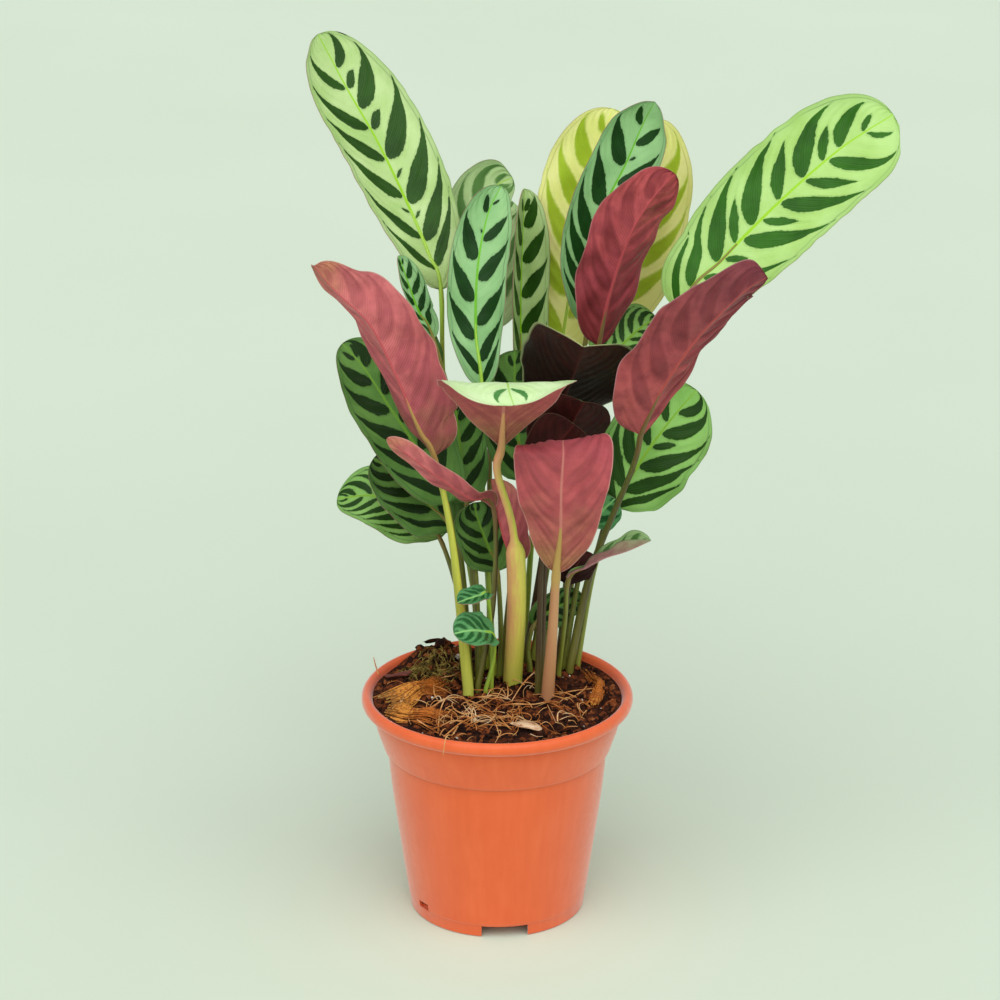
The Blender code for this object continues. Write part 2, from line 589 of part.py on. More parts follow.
def blade_points(leaf, rows, columns):
    """Places on the blade, rows along it and columns across, with the midrib and its upward direction."""
    rib = even_points(leaf_paths(leaf)[1], rows)[0]
    side, up = carried_sides(rib, leaf["face"])
    s = np.linspace(0.0, 1.0, rows)
    halves = [side_half(leaf, hand, s) for hand in (0, 1)]
    places = np.zeros((rows, columns, 3))
    for j, v in enumerate(np.linspace(-1.0, 1.0, columns)):
        hand = 0 if v < 0 else 1
        half = halves[hand]
        waves = np.sqrt(half * 2 / leaf["width"]) * leaf.get("wave", WAVE_HEIGHT)
        fold = math.radians(leaf["fold"][hand])
        roll = math.radians(leaf["roll"][hand])
        out = (math.sin(fold + roll * abs(v)) - math.sin(fold)) / roll
        lift = (math.cos(fold) - math.cos(fold + roll * abs(v))) / roll
        turns = math.tau * leaf.get("waves", WAVE_COUNT) * s + WAVE_SHIFT * hand
        raised = lift * half + waves * abs(v) ** 2.5 * np.sin(turns)
        places[:, j] = rib + side * (math.copysign(out, v) * half)[:, None] + up * raised[:, None]
    return places, rib, up


def blade_object(name, leaf):
    """The blade: a grid laid along the rib, cut into triangles, then thickened on both sides."""
    length = even_points(leaf_paths(leaf)[1], 9)[1]
    spans = max(6, round(length / BLADE_ROW_LENGTH))
    places = blade_points(leaf, spans + 1, BLADE_COLUMNS + 1)[0]
    bm = bmesh.new()
    bmesh.ops.create_grid(bm, x_segments=spans, y_segments=BLADE_COLUMNS, size=0.5)
    for vertex in bm.verts:
        row = round((vertex.co.x + 0.5) * spans)
        column = round((0.5 - vertex.co.y) * BLADE_COLUMNS)
        vertex.co = places[row, column]
    bmesh.ops.triangulate(bm, faces=bm.faces, quad_method="SHORT_EDGE")
    obj = new_object(name, mesh_from_bmesh(name, bm), PLANT)
    solidify = obj.modifiers.new("thickness", "SOLIDIFY")
    solidify.thickness = BLADE_THICKNESS * MM
    solidify.offset = 0.0
    apply_modifiers(obj)
    return obj


def stalk_object(name, leaf):
    """The stalk, from its hole in the soil to the neck, and on as the keel under the blade's first part."""
    stalk, rib = leaf_paths(leaf)
    bottom, top = leaf.get("thick", STEM_THICK)
    count = max(4, round(even_points(stalk[1:], 2)[1] / STEM_STEP))
    free = even_points(stalk[1:], count)[0]
    fine_rib, up = blade_points(leaf, KEEL_ROWS + 1, 3)[1:]
    keel_rows = [round(KEEL_ROWS * KEEL_SHARE * share) for share in (0.3, 0.65, 1.0)]
    sink = BLADE_THICKNESS * 0.5
    keel = [fine_rib[row] - up[row] * sink for row in keel_rows]
    places = [stalk[0], *free, *keel]
    radii = [bottom]
    radii += [bottom + (top - bottom) * i / (count - 1) for i in range(count)]
    radii += [top * share for share in (0.85, 0.65, 0.4)]
    curve = bpy.data.curves.new(name, "CURVE")
    curve.dimensions = "3D"
    curve.bevel_depth = MM
    curve.bevel_resolution = 1
    curve.use_fill_caps = True
    spline = curve.splines.new("POLY")
    spline.points.add(len(places) - 1)
    for point, place, radius in zip(spline.points, places, radii):
        point.co = (*(Vector(place) * MM), 1.0)
        point.radius = radius
    obj = bpy.data.objects.new(name, curve)
    obj.location = POT_AXIS * MM
    PLANT.objects.link(obj)
    bpy.context.view_layer.update()
    mesh = bpy.data.meshes.new_from_object(obj.evaluated_get(bpy.context.evaluated_depsgraph_get()))
    bm = bmesh.new()
    bm.from_mesh(mesh)
    bmesh.ops.remove_doubles(bm, verts=bm.verts, dist=0.00001)
    bmesh.ops.recalc_face_normals(bm, faces=bm.faces)
    bm.to_mesh(mesh)
    bm.free()
    bpy.data.objects.remove(obj, do_unlink=True)
    return new_object(name, mesh, PLANT)


def build_leaf(name, leaf):
    """One leaf: its blade and its stalk, joined."""
    blade = blade_object(name, leaf)
    stalk = stalk_object("stalk", leaf)
    union = blade.modifiers.new("join", "BOOLEAN")
    union.operation = "UNION"
    union.object = stalk
    union.solver = "MANIFOLD"
    apply_modifiers(blade)
    bpy.data.objects.remove(stalk, do_unlink=True)
    blade.data.materials.clear()
    blade.data.materials.append(LEAF_MATERIALS.get(name, LEAF_GREEN))
    smooth_faces(blade, 50.0)
    return blade


def build_top_layer(soil):
    """The pieces that lie on the soil."""
    faces = [tuple(polygon.vertices) for polygon in soil.data.polygons]
    tree = BVHTree.FromPolygons([vertex.co for vertex in soil.data.vertices], faces)
    for name, piece in LITTER.items():
        build_litter(name, piece, tree)


def build_plant():
    """Every leaf in the list."""
    for name, leaf in LEAVES.items():
        build_leaf(name, leaf)


build_plant()
smooth_faces(build_pot())
build_top_layer(build_soil())
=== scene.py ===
import math
import random

import bmesh
import bpy
import numpy as np
from mathutils import Matrix, Vector, noise


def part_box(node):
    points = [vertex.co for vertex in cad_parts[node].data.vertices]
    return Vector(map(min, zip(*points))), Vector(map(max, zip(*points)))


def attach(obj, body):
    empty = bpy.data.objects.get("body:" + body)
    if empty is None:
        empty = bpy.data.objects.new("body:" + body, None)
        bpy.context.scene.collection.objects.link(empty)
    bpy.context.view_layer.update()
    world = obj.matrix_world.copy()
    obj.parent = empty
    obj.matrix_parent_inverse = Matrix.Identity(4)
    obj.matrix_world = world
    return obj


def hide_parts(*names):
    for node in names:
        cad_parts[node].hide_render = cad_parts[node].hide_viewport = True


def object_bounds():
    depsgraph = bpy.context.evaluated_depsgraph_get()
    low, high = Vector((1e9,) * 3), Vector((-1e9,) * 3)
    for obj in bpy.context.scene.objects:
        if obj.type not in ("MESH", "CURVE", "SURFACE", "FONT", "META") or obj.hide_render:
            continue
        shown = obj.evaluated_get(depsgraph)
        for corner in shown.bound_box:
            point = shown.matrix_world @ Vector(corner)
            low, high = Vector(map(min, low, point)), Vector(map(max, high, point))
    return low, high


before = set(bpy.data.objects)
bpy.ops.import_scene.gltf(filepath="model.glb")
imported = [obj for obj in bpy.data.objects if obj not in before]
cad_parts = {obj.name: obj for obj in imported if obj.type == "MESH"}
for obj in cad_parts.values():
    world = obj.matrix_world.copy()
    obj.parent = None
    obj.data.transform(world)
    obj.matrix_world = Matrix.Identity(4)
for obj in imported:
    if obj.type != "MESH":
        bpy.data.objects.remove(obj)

CAD_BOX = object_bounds()

# Sizes below are millimetres from the pot's axis and from the height of its foot. The axis is
# where the frame has the pot.
MM = 0.001
pot_low, pot_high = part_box("pot")
POT_AXIS = np.array(((pot_low[0] + pot_high[0]) / 2, (pot_low[1] + pot_high[1]) / 2, 0.0)) / MM


# Camera: two metres from the plant and 21 degrees above it, with a long lens and a square frame.
CAMERA_RISE = math.radians(20.95)
CAMERA_DISTANCE = 2.0
CAMERA_AIM = (0.0014, 0.0, 0.2243)
FOCAL_LENGTH = 142.16
camera_back = Vector((0.0, -math.cos(CAMERA_RISE), math.sin(CAMERA_RISE)))
camera_data = bpy.data.cameras.new("camera")
camera_data.sensor_width = 36.0
camera_data.lens = FOCAL_LENGTH
camera_data.clip_end = 60.0
camera = bpy.data.objects.new("camera", camera_data)
camera.location = Vector(POT_AXIS * MM) + Vector(CAMERA_AIM) + camera_back * CAMERA_DISTANCE
camera.rotation_euler = (math.pi / 2 - CAMERA_RISE, 0.0, 0.0)
bpy.context.scene.collection.objects.link(camera)
bpy.context.scene.camera = camera


# Floor: a plain pale surface with matt paint. It isn't part of the plant.
FLOOR_SIZE, FLOOR_GAP = 30.0, 0.0002


def srgb(text):
    """A colour written as sRGB hex, turned to linear red, green, blue and alpha."""
    parts = [int(text[i : i + 2], 16) / 255 for i in (1, 3, 5)]
    return (*[p / 12.92 if p <= 0.04045 else ((p + 0.055) / 1.055) ** 2.4 for p in parts], 1.0)


def new_material(name, roughness, constants={}):
    """A material. Numbers that are the same all over are set on the shader's own sockets."""
    material = bpy.data.materials.new(name)
    material.use_nodes = True
    for key, value in {"Roughness": roughness, **constants}.items():
        material.node_tree.nodes["Principled BSDF"].inputs[key].default_value = value
    return material


def add(material, kind, inputs, output=0, **settings):
    """Adds a node and gives its output. Its inputs are numbers, hex colours or other outputs."""
    node = material.node_tree.nodes.new("ShaderNode" + kind)
    for name, value in settings.items():
        setattr(node, name, value)
    for key, value in inputs.items():
        if isinstance(value, bpy.types.NodeSocket):
            material.node_tree.links.new(value, node.inputs[key])
        else:
            node.inputs[key].default_value = srgb(value) if isinstance(value, str) else value
    return node.outputs[output]


def cloudy(material, scale, detail=2.0, stretch=None):
    """Soft noise from 0 to 1 in the object's own metres. A stretch under 1 draws it out."""
    place = add(material, "TexCoord", {}, "Object")
    if stretch:
        place = add(material, "Mapping", {"Vector": place, "Scale": stretch})
    return add(material, "TexNoise", {"Vector": place, "Scale": scale, "Detail": detail}, "Fac")


def ramp(material, factor, stops):
    """Colours along a number: each stop is a place from 0 to 1 with its colour."""
    colour = add(material, "ValToRGB", {"Fac": factor})
    elements = colour.node.color_ramp.elements
    while len(elements) < len(stops):
        elements.new(0.5)
    for element, (position, text) in zip(elements, stops):
        element.position = position
        element.color = srgb(text)
    return colour


def coat(material, colour, bump=None, roughness=None):
    """Runs the finished colour, bump and roughness into the material's shader."""
    sockets = material.node_tree.nodes["Principled BSDF"].inputs
    for key, output in (("Base Color", colour), ("Normal", bump), ("Roughness", roughness)):
        if output is not None:
            material.node_tree.links.new(output, sockets[key])


# Matt wall paint, rolled: even, with a slow change of tone over a hand's breadth and more.
floor_paint = new_material("matt_paint_rolled", 0.9)
mottle = cloudy(floor_paint, 3.0)
coat(floor_paint, ramp(floor_paint, mottle, [(0.3, "#D0DFCC"), (0.7, "#D3E2D0")]))
floor_mesh = bpy.data.meshes.new("floor")
reach = FLOOR_SIZE / 2
floor_corners = [(-reach, -reach, 0), (reach, -reach, 0), (reach, reach, 0), (-reach, reach, 0)]
floor_mesh.from_pydata(floor_corners, [], [(0, 1, 2, 3)])
floor_mesh.materials.append(floor_paint)
floor = bpy.data.objects.new("floor", floor_mesh)
floor.location.z = -FLOOR_GAP
bpy.context.scene.collection.objects.link(floor)


# Light: a soft studio. A broad sun from the front left and above, one from the front right, and
# an even pale sky.
SUNS = {
    "key": ((42.0, 0.0, -30.0), 1.5, 70.0),
    "fill": ((45.0, 0.0, 38.0), 1.25, 70.0),
}
SKY_COLOUR, SKY_POWER = "#F6F8F3", 0.46
for light_name, (turns, power, spread) in SUNS.items():
    sun_data = bpy.data.lights.new(light_name, "SUN")
    sun_data.energy = power
    sun_data.angle = math.radians(spread)
    sun = bpy.data.objects.new(light_name, sun_data)
    sun.rotation_euler = [math.radians(turn) for turn in turns]
    bpy.context.scene.collection.objects.link(sun)
sky = bpy.data.worlds.new("studio")
sky.use_nodes = True
for key, value in (("Color", srgb(SKY_COLOUR)), ("Strength", SKY_POWER)):
    sky.node_tree.nodes["Background"].inputs[key].default_value = value
bpy.context.scene.world = sky
bpy.context.scene.view_settings.view_transform = "Standard"


# Pot: a nursery pot of polypropylene, injection-moulded in one shot, dyed terracotta orange. It
# has a rolled rim, a flared collar over a fine step, and a foot ring with arches, slots and drains.
RIM_BEAD = (
    (64.0, 114.3), (65.2, 117.9), (66.6, 119.3), (67.8, 119.5), (69.3, 118.3), (70.0, 116.2),
    (69.7, 114.1), (68.4, 112.9), (67.2, 113.1), (65.4, 113.3),
)
COLLAR = ((65.2, 112.2), (62.1, 99.9), (59.0, 90.6))
STEP = ((58.9, 90.2), (58.6, 89.7), (57.0, 88.9), (56.7, 88.4), (56.6, 87.8))
WALL_FOOT = ((54.2, 63.0), (46.5, 7.3), (46.1, 7.0), (45.9, 6.6))
FOOT_RING = (
    (45.4, 0.5), (45.1, 0.1), (44.5, 0.0), (43.8, 0.1), (43.6, 0.5), (43.6, 6.2), (0.0, 6.2),
)
POT_INSIDE = ((0.0, 7.6), (45.1, 7.6), (52.8, 63.0), (55.2, 88.8), (57.5, 90.8), (60.6, 99.6))
POT_STEPS, POT_CREASE = 160, 32.0
# What is cut out of it: size, place on its circle, turns in degrees, and how many sides.
POT_CUTS = {
    "arch": ((12.0, 24.0, 12.4), (44.5, 0.0, 0.0), (-85.0, 35.0, 155.0), 4),
    "slot": ((5.0, 8.0, 4.2), (46.4, 0.0, 8.7), (-145.0, -7.0), 4),
    "drain": ((4.0, 4.0, 6.0), (30.0, 0.0, 7.0), range(0, 360, 60), 24),
}


def smooth_path(points, steps):
    """Catmull-Rom curve through the points. Gives its places, with steps for each span."""
    p = np.array(points, float)
    ext = np.vstack([2 * p[0] - p[1], p, 2 * p[-1] - p[-2]])
    t = np.linspace(0.0, 1.0, steps, endpoint=False)[:, None]
    spans = []
    for a, b, c, d in zip(ext, ext[1:], ext[2:], ext[3:]):
        square, cube = 2 * a - 5 * b + 4 * c - d, 3 * b - a - 3 * c + d
        spans.append(0.5 * (2 * b + (c - a) * t + square * t**2 + cube * t**3))
    return np.vstack([*spans, p[-1:]])


def place_mesh(name, vertices, faces, materials, indices=None, marks=None, crease=60.0):
    """An object from places in millimetres and faces, with its materials and painted numbers."""
    mesh = bpy.data.meshes.new(name)
    corners = (np.asarray(vertices) + POT_AXIS) * MM
    mesh.from_pydata(corners.tolist(), [], [tuple(face) for face in faces])
    for material in materials:
        mesh.materials.append(material)
    if indices is not None:
        mesh.polygons.foreach_set("material_index", np.asarray(indices, dtype=np.int32))
    for mark, values in (marks or {}).items():
        layer = mesh.attributes.new(mark, "FLOAT", "POINT")
        layer.data.foreach_set("value", np.asarray(values, dtype=np.float32))
    mesh.validate()
    mesh.shade_smooth()
    mesh.set_sharp_from_angle(angle=math.radians(crease))
    obj = bpy.data.objects.new(name, mesh)
    bpy.context.scene.collection.objects.link(obj)
    return obj


def turned(profile, steps):
    """The corners and faces of a profile of radius and height turned round the pot's axis."""
    corners, faces, rings = [], [], []
    for radius, height in profile:
        count = steps if radius > 0.001 else 1
        turn = math.tau * np.arange(count) / steps
        rings.append([len(corners) + i for i in range(count)])
        ring = [radius * np.cos(turn), radius * np.sin(turn), np.full(count, height)]
        corners += np.stack(ring, 1).tolist()
    for upper, lower in zip(rings, rings[1:]):
        for i in range(steps):
            j = (i + 1) % steps
            if len(upper) == 1:
                faces.append((upper[0], lower[i], lower[j]))
            elif len(lower) == 1:
                faces.append((upper[j], upper[i], lower[0]))
            else:
                faces.append((upper[j], upper[i], lower[i], lower[j]))
    return corners, faces


def cut_away(obj, name, size, centre, turn, sides):
    """Cuts a block, or a pin of more sides, out of the object, turned about the pot's axis."""
    bm = bmesh.new()
    if sides == 4:
        bmesh.ops.create_cube(bm, size=1.0)
    else:
        round_sizes = dict(radius1=1.0, radius2=1.0, depth=1.0)
        bmesh.ops.create_cone(bm, cap_ends=True, segments=sides, **round_sizes)
    bmesh.ops.scale(bm, vec=size, verts=bm.verts)
    bmesh.ops.translate(bm, vec=centre, verts=bm.verts)
    bmesh.ops.rotate(bm, matrix=Matrix.Rotation(turn, 3, "Z"), verts=bm.verts)
    bmesh.ops.translate(bm, vec=Vector(POT_AXIS), verts=bm.verts)
    bmesh.ops.scale(bm, vec=(MM, MM, MM), verts=bm.verts)
    mesh = bpy.data.meshes.new(name)
    bm.to_mesh(mesh)
    bm.free()
    cutter = bpy.data.objects.new(name, mesh)
    bpy.context.scene.collection.objects.link(cutter)
    cut = obj.modifiers.new(name, "BOOLEAN")
    cut.operation = "DIFFERENCE"
    cut.object = cutter
    cut.solver = "EXACT"
    bpy.context.view_layer.update()
    graph = bpy.context.evaluated_depsgraph_get()
    obj.data = bpy.data.meshes.new_from_object(obj.evaluated_get(graph))
    obj.modifiers.clear()
    bpy.data.objects.remove(cutter, do_unlink=True)


def span(material, value, low, high, start=0.0, end=1.0, ease="LINEAR"):
    """Turns a number between low and high into one between start and end."""
    inputs = {"Value": value, 1: low, 2: high, 3: start, 4: end}
    return add(material, "MapRange", inputs, interpolation_type=ease)


def reckon(material, operation, *values, **settings):
    """Arithmetic on numbers."""
    return add(material, "Math", dict(enumerate(values)), operation=operation, **settings)


def dents(material, height, strength, distance):
    """Relief from a number, as deep as the distance in metres."""
    return add(material, "Bump", {"Height": height, "Strength": strength, "Distance": distance})


# Polypropylene, injection-moulded: satin orange with a trace of cloudy dye, faint drawn lines up
# the wall, and dull scuffs. The clouds are 20 mm, the scuffs 3 mm, the tool's grain 0.4 mm.
plastic = new_material("polypropylene_moulded", 0.42, {
    "IOR": 1.49, "Specular IOR Level": 0.4, "Sheen Weight": 0.5, "Sheen Roughness": 0.45,
})
cloud = cloudy(plastic, 50.0, 3.0)
drawn = cloudy(plastic, 260.0, 2.0, (1.0, 1.0, 0.04))
scuff = cloudy(plastic, 330.0, 5.0)
grain = cloudy(plastic, 2400.0, 1.0)
blend = reckon(plastic, "ADD", cloud, drawn)
half_blend = reckon(plastic, "MULTIPLY", blend, 0.5)
dye = ramp(plastic, half_blend, [(0.3, "#DF5C26"), (0.5, "#E3612B"), (0.7, "#E76732")])
dull = span(plastic, scuff, 0.35, 0.7, 0.36, 0.52)
relief = reckon(plastic, "ADD", grain, drawn)
coat(plastic, dye, dents(plastic, relief, 0.12, 0.0002), dull)

bead = smooth_path(RIM_BEAD, 4).tolist()
wall = smooth_path([STEP[-1], *WALL_FOOT[:2]], 5).tolist()[1:]
inside_wall = smooth_path(POT_INSIDE[1:4], 4).tolist()
profile = [
    POT_INSIDE[0], *inside_wall, *POT_INSIDE[4:], *bead, *COLLAR, *STEP, *wall, *WALL_FOOT[2:],
    *FOOT_RING,
]
pot = place_mesh("nursery_pot", *turned(profile, POT_STEPS), [plastic], crease=POT_CREASE)
for name, (size, centre, turns, sides) in POT_CUTS.items():
    for turn in turns:
        cut_away(pot, name, size, centre, math.radians(turn), sides)
pot.data.set_sharp_from_angle(angle=math.radians(POT_CREASE))
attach(pot, "root")
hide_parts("pot")


# Soil: the root ball, potting peat with coir pith and composted bark, shaken in and settled. It
# fills the pot to a finger below the rim and is heaped over it at the back left.
SOIL_LEVEL, SOIL_EDGE = 113.5, 64.2
# The root ball's side as radius and height, and what its rings rise over the level by.
SOIL_SIDE = ((62.8, 112.0), (59.6, 103.0), (54.6, 88.0), (52.2, 63.0), (44.4, 8.1))
SOIL_RISE = ((12.0, 28.0, 43.0, 55.0, SOIL_EDGE), (2.6, 2.6, 2.4, 2.6, 2.2))
SOIL_RINGS, SOIL_STEPS = 120, 230
# Heaps as x, y, half width, half depth and height. Nuggets as x, y, size and rise.
HEAPS = ((-31.0, 44.0, 15.0, 12.0, 11.0), (-45.0, 8.0, 18.0, 20.0, 3.0))
CRUMB_COUNT, CRUMB_REACH, CRUMB_EDGE = 700, 60.0, 61.5
NUGGETS = (
    (-34, 45, 4.6, 2.4), (-27, 48, 4.0, 2.0), (-20, 50, 3.4, 1.2), (-40, 41, 3.6, 1.6),
    (-30, 40, 3.2, 1.4), (-46, 33, 2.8, 1.0), (39, 44, 3.4, 0.8), (33, 49, 2.8, 0.8),
)
GRIT_COUNT, GRIT_REACH = 40, 58.0
# Big grit as x, y and size.
BIG_GRIT = ((-20.7, 37.6, 1.7), (-17.5, 36.0, 1.2), (43.6, -9.0, 1.0))
random.seed(7)


def lump(x, y):
    """Height of the soil's own unevenness at a place."""
    coarse = math.sin(0.11 * x + 1.3) * math.cos(0.13 * y - 0.4)
    fine = math.sin(0.31 * x - 0.21 * y) + math.cos(0.27 * y + 0.19 * x + 2.0)
    return 1.5 * (coarse + 0.45 * fine)


def mound(x, y):
    """Height of the heaps at the back left and the left."""
    return sum(
        height * math.exp(-(((x - middle_x) / across) ** 2 + ((y - middle_y) / deep) ** 2))
        for middle_x, middle_y, across, deep, height in HEAPS
    )


def ground(x, y):
    """Height of the soil with its heaps, without its crumbs."""
    radius = math.hypot(x, y)
    level = np.interp(radius, *SOIL_RISE)
    inward = min(1.0, (SOIL_EDGE - radius) / 6.0)
    return SOIL_LEVEL + float(level) + inward * lump(x, y) + mound(x, y)


def crumbled(x, y):
    """Height of the soil with crumbs from 12 mm down to 1 mm across."""
    big = noise.noise(Vector((x / 9.0, y / 9.0, 3.1)))
    cells = noise.voronoi(Vector((x / 4.2, y / 4.2, 1.7)))[0][0]
    small = noise.voronoi(Vector((x / 1.9, y / 1.9, 6.4)))[0][0]
    return 1.9 * big + 3.0 * (0.45 - cells) + 1.1 * (0.4 - small)


def grid_faces(rows, columns, shift=0, flip=False, closed=False):
    """Four-sided faces over rows of corners. Closed rows join their last corner to their first."""
    faces = []
    for i in range(rows - 1):
        for j in range(columns if closed else columns - 1):
            a, b = shift + i * columns + j, shift + i * columns + (j + 1) % columns
            quad = (a, b, b + columns, a + columns)
            faces.append(quad[::-1] if flip else quad)
    return faces


TUBE_START = (0.31, -0.9, 0.2)


def tube(path, radii, sides):
    """The corners and faces of a closed round tube along the path, with a radius for each place."""
    p = np.asarray(path, float)
    tangent = np.gradient(p, axis=0)
    tangent /= np.maximum(np.linalg.norm(tangent, axis=1, keepdims=True), 1e-9)
    first = np.cross(tangent[0], TUBE_START)
    frame_side = [first / np.linalg.norm(first)]
    for row in tangent[1:]:
        carried = frame_side[-1] - row * (frame_side[-1] @ row)
        frame_side.append(carried / np.linalg.norm(carried))
    across = np.array(frame_side)
    over = np.cross(tangent, across)
    turn = math.tau * np.arange(sides) / sides
    spoke = across[:, None] * np.cos(turn)[None, :, None]
    spoke = spoke + over[:, None] * np.sin(turn)[None, :, None]
    corners = (p[:, None] + spoke * np.asarray(radii, float)[:, None, None]).reshape(-1, 3)
    faces = grid_faces(len(p), sides, closed=True)
    faces.append(tuple(reversed(range(sides))))
    faces.append(tuple(range((len(p) - 1) * sides, len(p) * sides)))
    return corners, faces


def joined(parts):
    """Several lots of corners and faces as one."""
    corners, faces = [], []
    for part_corners, part_faces in parts:
        shift = len(corners)
        corners += np.asarray(part_corners).tolist()
        faces += [tuple(shift + i for i in face) for face in part_faces]
    return corners, faces


def nugget(centre, size, seed):
    """A small angular lump: a twenty-sided ball pushed about and squashed."""
    bm = bmesh.new()
    bmesh.ops.create_icosphere(bm, subdivisions=2, radius=1.0)
    squash = Vector((1.0, 0.6 + 0.35 * math.sin(seed * 2.3), 0.5 + 0.3 * math.sin(seed * 1.1)))
    spin = Matrix.Rotation(seed * 1.7, 3, "Z") @ Matrix.Rotation(seed * 0.9, 3, "X")
    corners = []
    for vertex in bm.verts:
        push = 1.0 + 0.55 * noise.noise(vertex.co * 1.7 + Vector((seed, 0.0, 0.0)))
        corners.append(Vector(centre) + spin @ (vertex.co * squash * push * size))
    faces = [tuple(vertex.index for vertex in face.verts) for face in bm.faces]
    bm.free()
    return corners, faces


# Peat and coir pith, loose: near black in the gaps, warm brown on the crumbs, with rusty flecks
# of bark. The crumbs are 3 mm, and the fibres in them 0.3 mm, drawn 0.6 mm to show.
peat = new_material("peat_loose", 0.9, {"Specular IOR Level": 0.12})
place = add(peat, "TexCoord", {}, "Object")
crumb = add(peat, "TexVoronoi", {"Vector": place, "Scale": 340.0}, "Color")
crumb_tone = add(peat, "SeparateColor", {"Color": crumb}, "Red")
speck = cloudy(peat, 620.0, 5.0)
blend = add(peat, "Mix", {0: 0.5, 2: crumb_tone, 3: speck}, data_type="FLOAT")
brown = ramp(peat, blend, [
    (0.2, "#140906"), (0.42, "#2C160E"), (0.58, "#4C2614"), (0.7, "#763C1C"), (0.84, "#94603A"),
])
coat(peat, brown, dents(peat, speck, 0.9, 0.0006))

turns = [math.tau * step / SOIL_STEPS for step in range(SOIL_STEPS)]
corners, faces = [(0.0, 0.0, ground(0.0, 0.0) + crumbled(0.0, 0.0))], []
for ring in range(1, SOIL_RINGS + 1):
    radius = SOIL_EDGE * ring / SOIL_RINGS
    fade = min(1.0, (SOIL_EDGE - radius) / 3.0)
    for turn in turns:
        x, y = radius * math.cos(turn), radius * math.sin(turn)
        corners.append((x, y, ground(x, y) + fade * crumbled(x, y)))
for radius, height in SOIL_SIDE:
    corners += [(radius * math.cos(turn), radius * math.sin(turn), height) for turn in turns]
corners.append((0.0, 0.0, SOIL_SIDE[-1][1]))
rings = SOIL_RINGS + len(SOIL_SIDE)
for step in range(SOIL_STEPS):
    after = (step + 1) % SOIL_STEPS
    faces.append((0, 1 + step, 1 + after))
    for ring in range(rings - 1):
        inner, outer = 1 + ring * SOIL_STEPS, 1 + (ring + 1) * SOIL_STEPS
        faces.append((inner + step, outer + step, outer + after, inner + after))
    last = 1 + (rings - 1) * SOIL_STEPS
    faces.append((last + after, last + step, len(corners) - 1))
soil = place_mesh("root_ball", corners, faces, [peat], crease=180.0)
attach(soil, "root")
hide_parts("soil")


def scattered(reach):
    """A chance place within a circle round the pot's axis."""
    radius, turn = reach * math.sqrt(random.random()), random.uniform(0.0, math.tau)
    return radius * math.cos(turn), radius * math.sin(turn)


crumbs = []
for number in range(CRUMB_COUNT):
    x, y = scattered(CRUMB_REACH)
    size = 0.7 + 1.9 * random.random() ** 3
    if math.hypot(x, y) + size < CRUMB_EDGE:
        z = ground(x, y) + crumbled(x, y) + 0.3 * size
        crumbs.append(nugget((x, y, z), size, number * 1.37))
for x, y, size, rise in NUGGETS:
    crumbs.append(nugget((x, y, ground(x, y) + rise), size, x * 0.7))
soil_crumbs = place_mesh("peat_crumbs", *joined(crumbs), [peat], crease=50.0)
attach(soil_crumbs, "root")

# Perlite, expanded by heat: chalk-white porous grit, 1 to 3 mm, a little stained by the peat.
perlite = new_material("perlite_expanded", 0.85)
pore = cloudy(perlite, 900.0, 4.0)
chalk = ramp(perlite, pore, [(0.35, "#8C7D6C"), (0.5, "#CFC8BB"), (0.7, "#EFEDE6")])
coat(perlite, chalk, dents(perlite, pore, 0.6, 0.0003))
grit = []
for number in range(GRIT_COUNT):
    x, y = scattered(GRIT_REACH)
    size = random.uniform(0.35, 0.8)
    z = ground(x, y) + crumbled(x, y) + 0.5 * size
    grit.append(nugget((x, y, z), size, number * 2.1))
for x, y, size in BIG_GRIT:
    grit.append(nugget((x, y, ground(x, y) + 1.6), size, x))
soil_grit = place_mesh("perlite_grit", *joined(grit), [perlite])
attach(soil_grit, "root")


# Roots and loose fibres: fine curly feeding roots and strands of coir, dry and tan, that lie over
# the soil in front of the stalks. A few stand up from it, and one hangs over the rim.
# Roots that are placed one by one, as x, y and height over the soil.
ROOTS = (
    ((-49.9, -14.1, 1.5), (-44.5, -3.9, 3.0), (-37.9, 3.7, 3.0),
     (-29.1, 2.4, 4.0), (-20.8, -2.7, 1.0)),
    ((-30.0, -41.5, 0.5), (-29.2, -29.1, 3.0), (-26.2, -19.1, 5.0),
     (-21.2, -11.6, 4.0), (-15.1, -7.8, 1.0)),
    ((-26.8, -54.9, 2.0), (-17.8, -41.5, 4.0), (-7.7, -35.3, 6.0),
     (-1.6, -45.2, 4.5), (1.4, -57.0, 2.0)),
    ((-40.8, -32.8, 1.0), (-32.5, -41.5, 1.6), (-23.8, -52.5, 1.2)),
    ((20.8, 12.0, 11.0), (13.3, 0.0, 7.0), (6.5, -11.6, 1.0)),
    ((28.8, 3.7, 2.0), (37.5, -5.2, 3.5), (47.5, -16.6, 1.2)),
    ((-20.0, -40.0, 0.5), (-22.5, -56.0, 4.0), (-24.5, -64.5, 8.3),
     (-26.0, -67.2, 7.0), (-27.0, -67.9, -1.0)),
    ((27.7, -1.4, 2.0), (33.0, 1.5, 3.0), (40.2, 3.7, 3.0), (51.6, 3.7, 0.8)),
    ((-62.0, 22.0, 2.0), (-63.5, 24.0, 6.0), (-64.5, 26.0, 9.0)),
    ((-36.0, -20.0, 1.0), (-24.0, -16.0, 3.5), (-12.0, -19.0, 4.0), (0.0, -26.0, 1.5)),
    ((2.0, -14.0, 2.0), (9.0, -20.0, 5.0), (19.0, -21.0, 4.0), (29.0, -15.0, 3.5),
     (38.0, -20.0, 1.0)),
)
ROOT_COUNT, ROOT_EDGE = 150, 59.5
ROOT_RADII, LOOSE_RADII = (0.42, 0.2), (0.26, 0.12)
